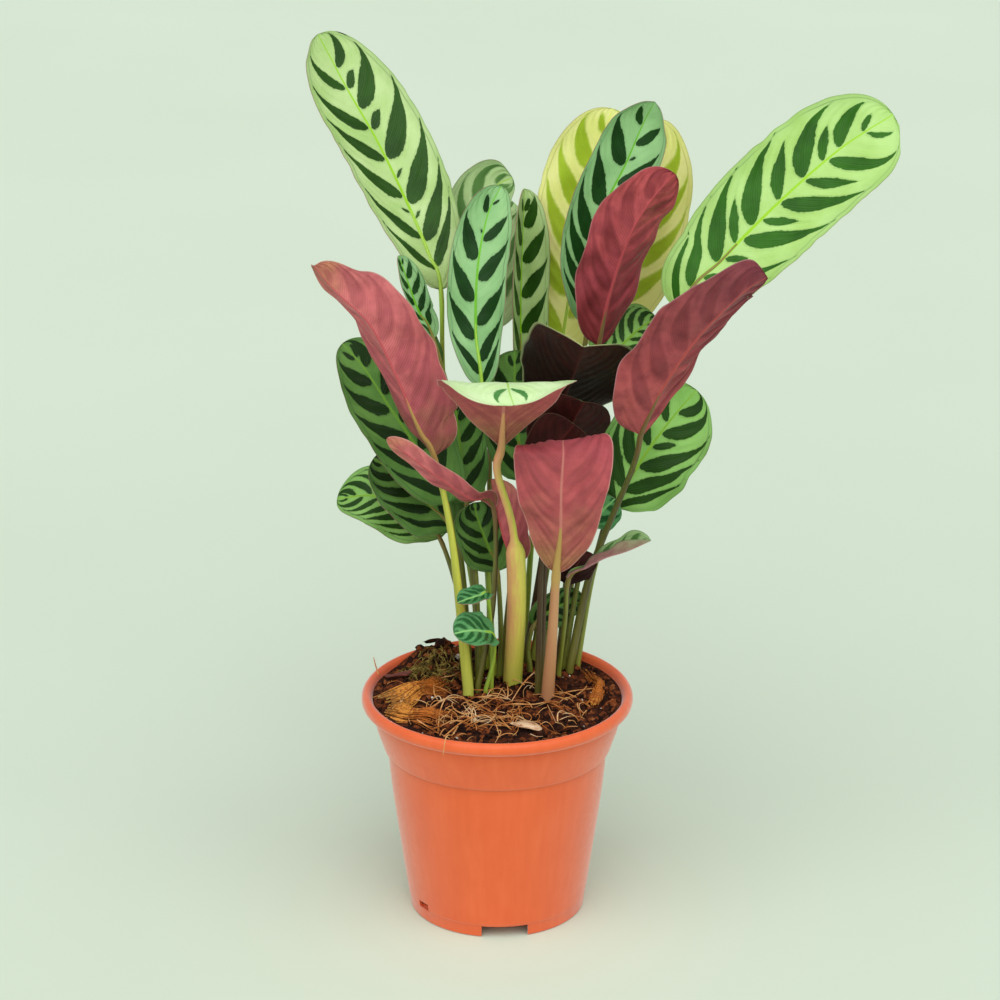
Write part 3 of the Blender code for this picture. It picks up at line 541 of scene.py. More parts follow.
ROOT_SIDES, STRAND_SIDES = 6, 5


def over_soil(points):
    """Places given as x, y and height over the soil, turned to heights from the pot's foot."""
    return [(x, y, ground(x, y) + rise) for x, y, rise in points]


def stray(x, y, heading, length, spans, curl, jitter, low, rise, edge):
    """A loose strand that wanders over the soil, arched in its middle and kept inside the edge."""
    points = []
    for share in np.linspace(0.0, 1.0, spans + 1):
        if math.hypot(x, y) < edge:
            points.append((x, y, low + rise * math.sin(math.pi * share)))
        x += length / spans * math.cos(heading)
        y += length / spans * math.sin(heading)
        heading += curl + random.uniform(-jitter, jitter)
    return points


def strand(points, steps, radii, sides=STRAND_SIDES, scale=1.0):
    """A fibre through places given over the soil, with its radii at both ends."""
    path = smooth_path(over_soil(points), steps)
    return tube(path, np.linspace(*radii, len(path)) * scale, sides)


# Coir and root fibre, dried: straw to rust, matt, darker in bands along the strand.
fibre = new_material("coir_fibre_dried", 0.75, {"Specular IOR Level": 0.25})
band = cloudy(fibre, 95.0, 3.0)
straw = ramp(fibre, band, [
    (0.32, "#8A4A20"), (0.45, "#BC7638"), (0.58, "#D8A468"), (0.7, "#E6CAA0"),
])
nap = cloudy(fibre, 2600.0)
coat(fibre, straw, dents(fibre, nap, 0.5, 0.0001))

strands = []
for points in ROOTS:
    strands.append(strand(points, 10, ROOT_RADII, ROOT_SIDES))
for number in range(ROOT_COUNT):
    x, y = random.gauss(-4.0, 26.0), random.gauss(-24.0, 16.0)
    heading, curl = random.uniform(0.0, math.tau), random.uniform(-0.5, 0.5)
    length, rise = random.uniform(6.0, 22.0), random.uniform(0.6, 3.6)
    points = stray(x, y, heading, length, 5, curl, 0.35, 0.6, rise, ROOT_EDGE)
    if len(points) > 2:
        strands.append(strand(points, 4, LOOSE_RADII, scale=random.uniform(0.7, 1.5)))
roots = place_mesh("fine_roots", *joined(strands), [fibre])
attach(roots, "root")


# Moss on the soil: a thin mat of dry, yellow-green moss stems at the back left, where the potting
# soil is heaped. The stems are short, lie every way and keep close to the crumbs.
MOSS_MIDDLE, MOSS_SPREAD, MOSS_COUNT = (-37.0, 25.0), (11.0, 7.5), 300
MOSS_RADII = (0.24, 0.1)
moss = new_material("moss_dried", 0.85, {"Specular IOR Level": 0.15})
stem = cloudy(moss, 260.0, 3.0)
olive = ramp(moss, stem, [
    (0.32, "#33260F"), (0.45, "#645426"), (0.58, "#8C7A3A"), (0.7, "#AE9A58"),
])
coat(moss, olive, dents(moss, stem, 0.6, 0.0002))

strands = []
for number in range(MOSS_COUNT):
    x, y = (random.gauss(middle, spread) for middle, spread in zip(MOSS_MIDDLE, MOSS_SPREAD))
    heading, length = random.uniform(0.0, math.tau), random.uniform(2.5, 7.0)
    rise = random.uniform(0.6, 2.2)
    if math.hypot(x, y) + length <= SOIL_EDGE - 4.0:
        points = stray(x, y, heading, length, 3, 0.0, 0.6, 1.4, rise, SOIL_EDGE)
        strands.append(strand(points, 3, MOSS_RADII))
moss_mat = place_mesh("moss_mat", *joined(strands), [moss])
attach(moss_mat, "root")


# Coir on the soil: two tufts of husk fibre and one curved strand, torn from the block the plant
# was raised in. Each is a bundle of stiff strands that keep together at one end and fray.
# Rows: middle, turn in degrees, length, width, thickness, bend, ripeness at the start, strands.
TUFTS = {
    "coir_tuft_back": ((-41.0, 0.0), 44.0, 42.0, 13.0, 4.6, 3.0, 0.1, 150),
    "coir_tuft_front": ((-42.0, -27.0), -26.0, 36.0, 12.0, 3.8, 5.0, 0.1, 130),
    "coir_strand_right": ((53.0, 9.0), 92.0, 42.0, 6.0, 3.2, 5.5, 0.5, 90),
}
HUSK_RADII = (0.34, 0.16)


def marked(material, name):
    """A number painted on the mesh's corners."""
    return add(material, "Attribute", {}, "Fac", attribute_name=name)


# Coir, husk fibre torn by hand: rust orange with pale yellow-green ends, matt and stringy.
husk = new_material("coir_husk_torn", 0.7, {"Specular IOR Level": 0.25})
along = marked(husk, "along")
thread = cloudy(husk, 700.0, 3.0)
blend = add(husk, "Mix", {0: 0.45, 2: along, 3: thread}, data_type="FLOAT")
rust = ramp(husk, blend, [
    (0.2, "#C8A458"), (0.33, "#8E5A28"), (0.44, "#E09A40"), (0.54, "#94501E"), (0.64, "#CE7A2C"),
    (0.76, "#6E3614"), (0.84, "#D89444"),
])
coat(husk, rust, dents(husk, thread, 0.5, 0.0002))

for name, (centre, turn, length, width, thickness, bend, ripe, count) in TUFTS.items():
    c, s = math.cos(math.radians(turn)), math.sin(math.radians(turn))
    strands, shares = [], []
    for number in range(count):
        lane = random.gauss(0.0, 0.3)
        layer = random.uniform(0.15, 1.0) * math.sqrt(max(0.0, 1.0 - lane * lane * 3.0))
        begin, end = random.uniform(-1.0, -0.45), random.uniform(0.35, 1.0)
        drift, wave = random.uniform(-0.12, 0.12), random.uniform(0.0, 0.1)
        phase = random.uniform(0.0, 6.0)
        points = []
        for share in np.linspace(begin, end, 7):
            fray = lane * (0.55 + 0.6 * abs(share)) + drift * share
            fray += wave * math.sin(3.0 * share + phase)
            u, v = share * length / 2, fray * width + bend * share * share
            x, y = centre[0] + u * c - v * s, centre[1] + u * s + v * c
            points.append((x, y, 0.5 + layer * thickness * math.cos(share * 1.2)))
        strands.append(strand(points, 4, HUSK_RADII, scale=random.uniform(0.4, 1.15)))
        places = len(strands[-1][0]) // STRAND_SIDES
        run = ripe + (1 - ripe) * np.linspace((begin + 1) / 2, (end + 1) / 2, places)
        shares += np.repeat(run, STRAND_SIDES).tolist()
    husk_name = name.replace("coir", "husk")
    tuft = place_mesh(husk_name, *joined(strands), [husk], marks={"along": shares})
    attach(tuft, "root")
    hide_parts(name)


# Bark on the soil: one thick chip and one thin almond-shaped flake, broken from composted bark.
# Rows: middle, turn in degrees, length, width, thickness.
FLAKES = {
    "bark_chip": ((-51.5, 17.0), 20.0, 14.0, 12.0, 2.0),
    "bark_flake": ((15.0, -44.0), -18.0, 17.0, 8.0, 1.6),
}
FLAKE_ROWS, FLAKE_COLUMNS, FLAKE_RISE = 22, 40, 1.9


def bark_skin(name, stops):
    """Composted bark, broken: layered along the grain, cork cells drawn as 0.5 mm dents."""
    material = new_material(name, 0.8)
    layer = cloudy(material, 700.0, 4.0, (0.25, 1.0, 1.0))
    tone = ramp(material, layer, stops)
    coat(material, tone, dents(material, layer, 0.7, 0.0005))
    return material


chip_bark = bark_skin("bark_composted", [(0.3, "#3F1A12"), (0.5, "#6B2F20"), (0.7, "#8A4630")])
flake_bark = bark_skin("bark_inner_dried", [(0.3, "#8A5B3A"), (0.5, "#C9A27C"), (0.7, "#E2C9A8")])
for name, (centre, turn, length, width, thickness) in FLAKES.items():
    c, s = math.cos(math.radians(turn)), math.sin(math.radians(turn))
    corners, faces = [], []
    rows, columns = FLAKE_ROWS, FLAKE_COLUMNS
    for side in (1.0, -1.0):
        for row in range(rows):
            share = row / (rows - 1)
            for column in range(columns):
                angle = math.tau * column / columns
                ragged = 1.0 + 0.07 * math.sin(5 * angle + length) * share
                torn = Vector((math.cos(angle) * 3, math.sin(angle) * 3, length))
                ragged += 0.05 * noise.noise(torn)
                pointed = abs(math.sin(angle)) ** (1.5 if name == "bark_flake" else 0.8)
                u = length / 2 * math.cos(angle) * share * ragged
                v = width / 2 * math.copysign(pointed, math.sin(angle)) * share * ragged
                x, y = centre[0] + u * c - v * s, centre[1] + u * s + v * c
                swell = math.sqrt(max(0.0, 1.0 - share**4))
                ridges = 0.22 * noise.noise(Vector((u * 0.35, v * 1.7, side)))
                middle = ground(x, y) + FLAKE_RISE + thickness / 2
                corners.append((x, y, middle + side * swell * (thickness / 2 + ridges)))
    for layer in range(2):
        for row in range(rows - 1):
            for column in range(columns):
                a = layer * rows * columns + row * columns + column
                b = layer * rows * columns + row * columns + (column + 1) % columns
                quad = (a, a + columns, b + columns, b)
                faces.append(quad if layer == 0 else quad[::-1])
    skin = chip_bark if name == "bark_chip" else flake_bark
    flake = place_mesh(name.replace("bark", "broken_bark"), corners, faces, [skin])
    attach(flake, "root")
    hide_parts(name)


# Tall striped leaves: the ones that stand at the back and show their painted upper face. Each leaf
# is one thin blade, waxy above and downy below, with a raised midrib that runs down into its stalk.
BLADE_ROW = 0.9
BLADE_COLUMNS = 42
BLADE_HALF_THICKNESS = 0.22
# What a leaf has unless its own row says otherwise. Pairs are for the blade's two sides, folds and
# rolls are degrees, base and tip are the shares of the length where the outline narrows.
USUAL_LEAF = dict(
    thick=(1.7, 1.2), fold=(6, 6), roll=(10, 10), base=0.42, tip=0.36, shoulder=0.85, wave=0.8,
    waves=2.5, buckle=1.2, pleats=((0.26, 7.0), (0.26, 7.0)), sheath=1.0,
    skins="shaded rose olive",
)
FINE_ROWS, PATH_STEPS = 200, 24
NECK_HALF_WIDTH, TIP_HALF_WIDTH = 1.6, 0.7
KEEL_SHARE, KEEL_HEIGHT, KEEL_WIDTH, KEEL_ROWS = 0.3, 0.9, 0.9, 14
STEM_BOTTOM, STEM_STRAIGHT_TO = 104.0, 119.0
STEM_SIDES, STEM_STEP = 14, 3.0
# No leaf leaves the CAD's box, less 0.1 mm.
REACH = np.array(CAD_BOX) / MM - POT_AXIS + ((0.1,), (-0.1,))
VEIN_SWEEP = 0.7
# A stripe is its place along the rib as a share, its width in mm, and its reach towards the margin
# as a share, if that isn't the full one. Shares across are below nought on the minus side.
FULL_REACH, STRIPE_START, NO_STRIPE = 0.95, 0.03, -9.0
TALL_LEAVES = {
    "leaf_top_left": dict(
        foot=(-6, 37), stem=[(-26, 52, 249)],
        rib=[(-29, 66, 315), (-35, 76, 330), (-46, 92, 352), (-62, 112, 380), (-78, 128, 404),
            (-88, 136, 421), (-93.5, 138, 431)],
        face=(0.1, -0.9, 0.3), width=53, fold=(30, 0), roll=(18, 6), base=0.56, tip=(0.34, 0.42),
        wave=1.4, skins="lime rose green",
        minus=[(0.073, 10), (0.198, 10), (0.36, 12), (0.503, 11, 0.93), (0.628, 11, 0.92),
            (0.79, 9, 0.85), (0.29, 3, 0.2)],
        plus=[(0.083, 12), (0.19, 15), (0.335, 17, 0.97), (0.51, 17, 0.97), (0.71, 15, 0.93),
            (0.87, 10, 0.7), (0.62, 8, 0.36), (0.79, 8, 0.34), (0.265, 3, 0.2), (0.425, 3, 0.2)]),
    "leaf_centre_mint": dict(
        foot=(-2, 33), stem=[(-8, 40, 226)],
        rib=[(-8, 40, 272), (-11, 50, 298), (-10, 62, 328), (-5, 74, 352), (2, 80, 366)],
        face=(0.1, -0.95, 0.35), width=34, fold=(12, 16), roll=(22, 30), base=0.5, tip=(0.5, 0.36),
        wave=1.2, skins="mint rose green",
        minus=[(0.07, 10), (0.243, 12), (0.43, 13), (0.637, 14, 0.9), (0.86, 7, 0.5),
            (0.75, 2, 0.15)],
        plus=[(0.01, 10), (0.13, 11), (0.31, 12), (0.53, 12, 0.92), (0.72, 9, 0.8),
            (0.9, 2.5, 0.3)]),
    "leaf_behind_curled": dict(
        foot=(-4, 42), stem=[(-4, 78, 223)],
        rib=[(-3, 106, 280), (-5, 116, 315), (-7, 122, 338), (-1, 126, 352), (8, 126, 357)],
        face=(-0.1, -0.95, 0.25), width=42, roll=(10, 20), wave=1.5, skins="pale rose olive"),
    "leaf_folded_narrow": dict(
        foot=(9, 50), stem=[(12, 62, 201)],
        rib=[(12, 78, 253), (12, 92, 301), (13, 100, 331), (14, 106, 357)],
        face=(-0.1, -0.95, 0.3), width=32, fold=(76, 12), wave=1.0, skins="lime rose olive"),
    "leaf_upright_mint": dict(
        foot=(19, 46), stem=[(34, 62, 217)],
        rib=[(47, 72, 294), (49, 82, 325), (56, 92, 352), (66, 100, 371), (75, 106, 391),
            (81, 104, 404)],
        face=(0.1, -0.95, 0.3), width=42, fold=(14, 26), roll=(24, 34), tip=0.28, wave=1.2,
        skins="mint rose olive",
        minus=[(0.02, 11), (0.13, 11), (0.24, 12), (0.36, 13), (0.516, 14, 0.93), (0.704, 14, 0.9),
            (0.885, 7, 0.55)],
        plus=[(0.08, 11), (0.26, 12), (0.44, 12, 0.92), (0.62, 11, 0.85), (0.8, 9, 0.7),
            (0.53, 2.5, 0.2), (0.72, 2.5, 0.2)]),
    "leaf_top_right": dict(
        foot=(38, 40), stem=[(63, 68, 209)],
        rib=[(94, 66, 304), (116, 76, 328), (145, 90, 354), (173, 102, 376), (190, 107, 387),
            (205, 112, 395)],
        face=(-0.1, -0.9, 0.45), width=59, fold=(5, 5), roll=(10, 12), base=0.48, tip=(0.36, 0.24),
        wave=1.4, skins="spring rose olive",
        minus=[(-0.02, 11), (0.09, 12), (0.215, 15, 0.96), (0.3, 8, 0.6), (0.388, 15),
            (0.51, 11, 0.72), (0.624, 15, 0.88), (0.71, 8, 0.5), (0.785, 12, 0.75),
            (0.88, 6, 0.35)],
        plus=[(0.02, 10), (0.14, 11), (0.235, 6, 0.36), (0.33, 14), (0.42, 7, 0.5),
            (0.51, 13, 0.93), (0.62, 9, 0.68), (0.73, 12, 0.9), (0.885, 5, 0.5)]),
}


def even_points(path, count):
    """The same path with count places at even distances. Gives them with the path's length."""
    run = np.concatenate([[0.0], np.cumsum(np.linalg.norm(np.diff(path, axis=0), axis=1))])
    want = np.linspace(0.0, run[-1], count)
    return np.stack([np.interp(want, run, path[:, k]) for k in range(3)], axis=1), run[-1]


def unit(rows):
    """Each row at length one."""
    return rows / np.maximum(np.linalg.norm(rows, axis=-1, keepdims=True), 1e-9)


def half_width(s, base, tip, shoulder):
    """An oblong leaf's outline: half width as a share, with a round base and a pointed tip."""
    rise = np.clip(s / base, 0.0, 1.0)
    fall = np.clip((1.0 - s) / tip, 0.0, 1.0)
    return np.sqrt(1 - (1 - rise) ** 2) ** shoulder * np.sqrt(1 - (1 - fall) ** 2.2) ** 0.95


def leaf_paths(leaf):
    """The stalk's path and the midrib's path, one smooth line from the soil to the tip."""
    x, y = leaf["foot"]
    points = [(x, y, STEM_STRAIGHT_TO - 1.0), (x, y, STEM_STRAIGHT_TO), *leaf["stem"], *leaf["rib"]]
    path = smooth_path(points, PATH_STEPS)
    neck = PATH_STEPS * (len(leaf["stem"]) + 2)
    return np.vstack([[x, y, STEM_BOTTOM], path[PATH_STEPS : neck + 1]]), path[neck:]


def carried_sides(rib, face):
    """Which way is sideways and which is up along the rib, turned as little as the rib allows."""
    tangent = unit(np.gradient(rib, axis=0))
    face = np.array(face, float)
    side = np.zeros_like(rib)
    side[0] = unit(np.cross(tangent[0], face))
    for i in range(1, len(rib)):
        side[i] = unit(side[i - 1] - tangent[i] * (side[i - 1] @ tangent[i]))
    middle = len(rib) // 2
    wanted = unit(np.cross(tangent[middle], face))
    up = np.cross(side, tangent)
    angle = math.atan2(wanted @ up[middle], wanted @ side[middle])
    side = side * math.cos(angle) + up * math.sin(angle)
    return side, np.cross(side, tangent)


def side_half(leaf, hand, s):
    """Half width of one side of the blade, in millimetres, at each share of its length."""
    base, tip = (np.broadcast_to(leaf[key], 2)[hand] for key in ("base", "tip"))
    least = NECK_HALF_WIDTH + (TIP_HALF_WIDTH - NECK_HALF_WIDTH) * s
    return np.maximum(leaf["width"] / 2 * half_width(s, base, tip, leaf["shoulder"]), least)


def blade_places(leaf, across, seed):
    """Places on the blade, in even rows along it by shares across it, and its half widths there."""
    rib, length = even_points(leaf_paths(leaf)[1], FINE_ROWS)
    side, up = carried_sides(rib, leaf["face"])
    s = np.linspace(0.0, 1.0, FINE_ROWS)
    lead = vein_lead(leaf, across)
    places = np.zeros((FINE_ROWS, len(across), 3))
    halves = np.zeros((FINE_ROWS, len(across)))
    for j, v in enumerate(across):
        hand = 0 if v < 0 else 1
        nibble = [noise.noise(Vector((q * length / 8.0, 5.0 * hand, seed))) for q in s]
        half = side_half(leaf, hand, s) * (1.0 + 0.03 * np.array(nibble) * np.sin(math.pi * s))
        fold = math.radians(leaf["fold"][hand])
        roll = math.radians(leaf["roll"][hand])
        out = (math.sin(fold + roll * abs(v)) - math.sin(fold)) / roll
        lift = (math.cos(fold) - math.cos(fold + roll * abs(v))) / roll
        turns = math.tau * leaf["waves"] * s + 1.9 * hand
        waves = np.sqrt(half * 2 / leaf["width"]) * leaf["wave"]
        raised = lift * half + waves * abs(v) ** 2.5 * np.sin(turns)
        depth, pitch = leaf["pleats"][hand]
        vein = s * length - lead[j]
        raised += depth * np.sin(math.tau * vein / pitch) * math.sin(math.pi * min(1.0, abs(v)))
        spots = [(q * length / 17.0, v * w / 12.0, seed + 9.0) for q, w in zip(s, half)]
        buckle = [noise.noise(Vector(spot)) for spot in spots]
        raised += leaf["buckle"] * np.array(buckle) * np.sin(math.pi * s) * min(1.0, 3.0 * abs(v))
        places[:, j] = rib + side * (math.copysign(out, v) * half)[:, None] + up * raised[:, None]
        halves[:, j] = half
    return places, halves


def vein_lead(leaf, across):
    """How far towards the tip a side vein has run, in mm, at a share of its way to the margin."""
    return VEIN_SWEEP * leaf["width"] / 2 * -np.log(1.0 - np.abs(across) / 1.1)


def resampled(values, shares):
    """Numbers given in even rows along the blade, taken at the rows that follow the veins."""
    even = np.linspace(0.0, 1.0, len(values))
    layers = values.reshape(*values.shape[:2], -1)
    taken = np.zeros((*shares.shape, layers.shape[2]))
    for j in range(shares.shape[1]):
        for k in range(layers.shape[2]):
            taken[:, j, k] = np.interp(shares[:, j], even, layers[:, j, k])
    return taken.reshape(*shares.shape, *values.shape[2:])


def even_stripes(length, pitch, offset):
    """Stripes at an even distance along one side, with a small one here and there."""
    stripes, at = [], STRIPE_START + offset * pitch / length
    while at < 0.86:
        stripes.append((at, 0.64 * pitch, 0.97 - 0.2 * at * at))
        at += pitch / length
    stripes.append((min(at, 0.9), 0.34 * pitch, 0.4))
    return stripes


def stripe_field(stripes, vein, share, length):
    """How deep in a stripe a place is, in mm. Stripes are blunt inside and pointed outside."""
    field = np.full(vein.shape, NO_STRIPE)
    for at, width, *reach in stripes:
        reach = reach[0] if reach else FULL_REACH
        blunt = np.clip((share - STRIPE_START) / min(0.34, 0.5 * reach), 0.0, 1.0) ** 0.45
        taper = 1.0 - 0.92 * np.clip((share - 0.4 * reach) / (0.6 * reach), 0.0, 1.0) ** 1.9
        depth = width / 2 * blunt * taper - np.abs(vein - at * length)
        outside = np.maximum(0.0, share - reach) + np.maximum(0.0, STRIPE_START - share)
        depth -= 25.0 * outside
        field = np.maximum(field, depth)
    return field


def grow_leaf(name, leaf):
    """One leaf: both faces of its blade, the edge between them, the midrib's keel and the stalk."""
    leaf = {**USUAL_LEAF, **leaf}
    seed = float(sum(name.encode()) % 97)
    spread = np.linspace(-1.0, 1.0, BLADE_COLUMNS + 1)
    across = np.sign(spread) * np.abs(spread) ** 1.2
    rib, length = even_points(leaf_paths(leaf)[1], FINE_ROWS)
    up = carried_sides(rib, leaf["face"])[1]
    even_places, even_halves = blade_places(leaf, across, seed)
    forward = np.gradient(rib, axis=0)[:, None, :]
    even_normal = unit(np.cross(np.gradient(even_places, axis=1), forward))

    # Rows that run with the side veins, eased to straight ones at the neck and the tip.
    lead = vein_lead(leaf, across)
    skew = VEIN_SWEEP * leaf["width"] / 2 * -np.log(1.0 - np.abs(across) / 1.3)
    starts = np.linspace(0.0, length, round(length / BLADE_ROW) + 1)
    ease = np.clip(np.minimum(starts, length - starts) / (1.4 * skew.max()), 0.0, 1.0)
    at = starts[:, None] + ease[:, None] * skew[None, :]
    vein, s = at - lead[None, :], at / length
    rows, columns = s.shape
    places, half = resampled(even_places, s), resampled(even_halves, s)
    normal = unit(resampled(even_normal, s))

    # Both faces, the midrib's keel below, and the numbers that are painted on them.
    share = np.abs(across)[None, :] + 0.0 * s
    from_rib, to_edge = share * half, (1.0 - share) * half
    keel = np.exp(-((from_rib / (KEEL_WIDTH * (1.15 - s))) ** 2)) * (1.0 - s) ** 0.8
    thick = BLADE_HALF_THICKNESS * (0.55 + 0.45 * np.clip(to_edge / 4.0, 0.0, 1.0))
    upper = places + normal * (thick - 0.35 * keel)[..., None]
    under = places - normal * (thick + KEEL_HEIGHT * keel)[..., None]
    pitch = leaf.get("pitch", 0.17 * length)
    minus = leaf.get("minus") or even_stripes(length, pitch, 0.2)
    plus = leaf.get("plus") or even_stripes(length, pitch, 0.7)
    field = np.where(across[None, :] < 0, stripe_field(minus, vein, share, length),
                     stripe_field(plus, vein, share, length))
    midrib = 0.3 + 0.75 * (1.0 - s) ** 0.7 - from_rib
    marks = {"stripe": field, "vein": vein, "midrib": midrib, "margin": to_edge, "along": s}

    # The faces above and below, with the edge all round between them.
    count = rows * columns
    corners = np.clip(np.vstack([upper.reshape(-1, 3), under.reshape(-1, 3)]), *REACH)
    faces = grid_faces(rows, columns)
    indices = [0] * len(faces)
    faces += grid_faces(rows, columns, count, flip=True)
    for i in range(rows - 1):
        a, b = i * columns, i * columns + columns - 1
        faces.append((a, a + columns, a + columns + count, a + count))
        faces.append((b, b + count, b + columns + count, b + columns))
    last = (rows - 1) * columns
    for j in range(columns - 1):
        faces.append((j, j + count, j + 1 + count, j + 1))
        faces.append((last + j, last + j + 1, last + j + 1 + count, last + j + count))
    indices += [1] * (len(faces) - len(indices))

    # The stalk, thick up to its sheath's top, that runs on under the blade as the midrib.
    bottom, top = leaf["thick"]
    stalk, stalk_length = even_points(leaf_paths(leaf)[0], FINE_ROWS)
    stalk, _ = even_points(stalk, round(stalk_length / STEM_STEP))
    up_stalk = np.linspace(0.0, 1.0, len(stalk))
    sheath = leaf["sheath"]
    slim = np.clip((up_stalk - sheath) / 0.06 + 0.5, 0.0, 1.0) if sheath < 1.0 else up_stalk
    radii = bottom + (top - bottom) * (slim * slim * (3 - 2 * slim))
    radii *= 1.0 + 0.12 * np.exp(-(((up_stalk - 0.97) / 0.03) ** 2))
    keel_rows = np.linspace(0, (FINE_ROWS - 1) * KEEL_SHARE, KEEL_ROWS).round().astype(int)[1:]
    keel_path = rib[keel_rows] - up[keel_rows] * np.linspace(0.35, 0.1, len(keel_rows))[:, None]
    keel_radii = top * np.linspace(0.95, 0.35, len(keel_rows))
    path = np.vstack([stalk, keel_path])
    tube_corners, tube_faces = tube(path, [*radii, *keel_radii], STEM_SIDES)
    shift = len(corners)
    faces += [tuple(shift + i for i in face) for face in tube_faces]
    indices += [2] * len(tube_faces)
    corners = np.vstack([corners, tube_corners])
    spoke = unit(tube_corners - np.repeat(path, STEM_SIDES, axis=0))
    tube_along = np.repeat(np.concatenate([up_stalk, np.full(len(keel_path), 1.0)]), STEM_SIDES)
    painted = {}
    for mark, values in marks.items():
        both = np.concatenate([values.ravel(), values.ravel()])
        on_tube = tube_along if mark == "along" else np.zeros(len(tube_corners))
        painted[mark] = np.concatenate([both, on_tube])
    painted["right"] = np.concatenate([np.zeros(2 * count), spoke[:, 0]])

    above, below, stem = leaf["skins"].split()
    materials = [UPPER_SKINS[above], UNDER_SKINS[below], STALK_RINDS[stem]]
    grown_name = name.replace("leaf", "grown_leaf")
    blade = place_mesh(grown_name, corners, faces, materials, indices, painted)
    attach(blade, "root")
    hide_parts(name)


# Leaf skin, waxed by the plant: satin, pale between dark feathered stripes, a bright midrib, and
# a dark line at the margin. The fine side veins are 0.8 mm apart and drawn 1.6 mm apart to show.
VEIN_PITCH = 1.6
UPPER_SKINS, UNDER_SKINS, STALK_RINDS = {}, {}, {}


def tint(material, share, under, over):
    """One colour over another, by a share from 0 to 1."""
    return add(material, "Mix", {0: share, 6: under, 7: over}, 2, data_type="RGBA")


def side_veins(material):
    """The fine side veins, as a wave from -1 to 1 across them."""
    turns = reckon(material, "MULTIPLY", marked(material, "vein"), math.tau / VEIN_PITCH)
    return reckon(material, "SINE", turns)


def upper_skin(kind, pale, dark, midrib, outline, soft, gloss):
    """The painted upper face. The stripes' edge is as soft as the number of millimetres given."""
    skin = new_material("leaf_skin_waxed_" + kind, gloss, {"Specular IOR Level": 0.16})
    margin, comb = marked(skin, "margin"), side_veins(skin)
    cloud, fleck = cloudy(skin, 55.0, 3.0), cloudy(skin, 520.0, 3.0)
    pale_tone = ramp(skin, cloud, [(0.35, pale[0]), (0.65, pale[1])])
    dark_tone = ramp(skin, cloud, [(0.35, dark[0]), (0.65, dark[1])])
    # Deeper towards the margin, then the feathered stripes, each in a soft halo.
    colour = tint(skin, span(skin, margin, 0.0, 7.0, 0.2, 0.0), pale_tone, outline)
    ragged = span(skin, fleck, 0.3, 0.7, -0.35, 0.35)
    combed = reckon(skin, "MULTIPLY_ADD", comb, 0.1, ragged)
    edge = reckon(skin, "ADD", marked(skin, "stripe"), combed)
    colour = tint(skin, span(skin, edge, -1.5, 0.3, 0.0, 0.3), colour, dark_tone)
    colour = tint(skin, span(skin, edge, -soft, soft, ease="SMOOTHSTEP"), colour, dark_tone)
    # Fine veins, the midrib, a faint thread 2.3 mm inside the margin, and the margin's own line.
    colour = tint(skin, span(skin, comb, 0.2, 1.0, 0.0, 0.04), colour, midrib)
    colour = tint(skin, span(skin, marked(skin, "midrib"), -0.15, 0.3), colour, midrib)
    apart = reckon(skin, "ABSOLUTE", reckon(skin, "SUBTRACT", margin, 2.3))
    faint = span(skin, cloud, 0.35, 0.62, 0.12, 0.5)
    colour = tint(skin, span(skin, apart, 0.1, 0.45, faint, 0.0), colour, outline)
    colour = tint(skin, span(skin, margin, 0.2, 0.6, 0.35, 0.0), colour, outline)
    ridge = reckon(skin, "MULTIPLY_ADD", comb, 0.5, fleck)
    wax = span(skin, fleck, 0.3, 0.7, gloss - 0.05, gloss + 0.08)
    coat(skin, colour, dents(skin, ridge, 0.35, 0.0002), wax)
    UPPER_SKINS[kind] = skin


# Leaf skin, downy: the underside, satin and pink to maroon, with soft darker arcs where the
# stripes are, fine paler side veins, and a raised midrib of its own colour.
def under_skin(kind, stops, arc, midrib, outline, depth, edge=0.6):
    """The underside. Stops run from neck to tip, depth is the arcs', edge the margin's in mm."""
    skin = new_material("leaf_under_downy_" + kind, 0.48, {
        "Specular IOR Level": 0.14, "Sheen Weight": 0.03, "Sheen Roughness": 0.4,
    })
    comb, cloud = side_veins(skin), cloudy(skin, 70.0, 4.0)
    fleck, blotch = cloudy(skin, 480.0, 4.0), cloudy(skin, 150.0, 5.0)
    drift = span(skin, cloud, 0.25, 0.75, -0.16, 0.16)
    colour = ramp(skin, reckon(skin, "ADD", marked(skin, "along"), drift), stops)
    shadow = span(skin, marked(skin, "stripe"), -2.0, 1.6, 0.0, depth, "SMOOTHSTEP")
    colour = tint(skin, shadow, colour, arc)
    colour = tint(skin, span(skin, comb, 0.0, 1.0, 0.0, 0.06), colour, midrib)
    colour = tint(skin, span(skin, blotch, 0.4, 0.68, 0.0, 0.4), colour, arc)
    colour = tint(skin, span(skin, marked(skin, "midrib"), -0.1, 0.35, 0.0, 0.9), colour, midrib)
    rim = span(skin, marked(skin, "margin"), 0.4 * edge, edge, 0.75, 0.0)
    colour = tint(skin, rim, colour, outline)
    ridge = reckon(skin, "MULTIPLY_ADD", comb, 0.6, fleck)
    down = span(skin, fleck, 0.3, 0.7, 0.42, 0.56)
    coat(skin, colour, dents(skin, ridge, 0.45, 0.00025), down)
    UNDER_SKINS[kind] = skin
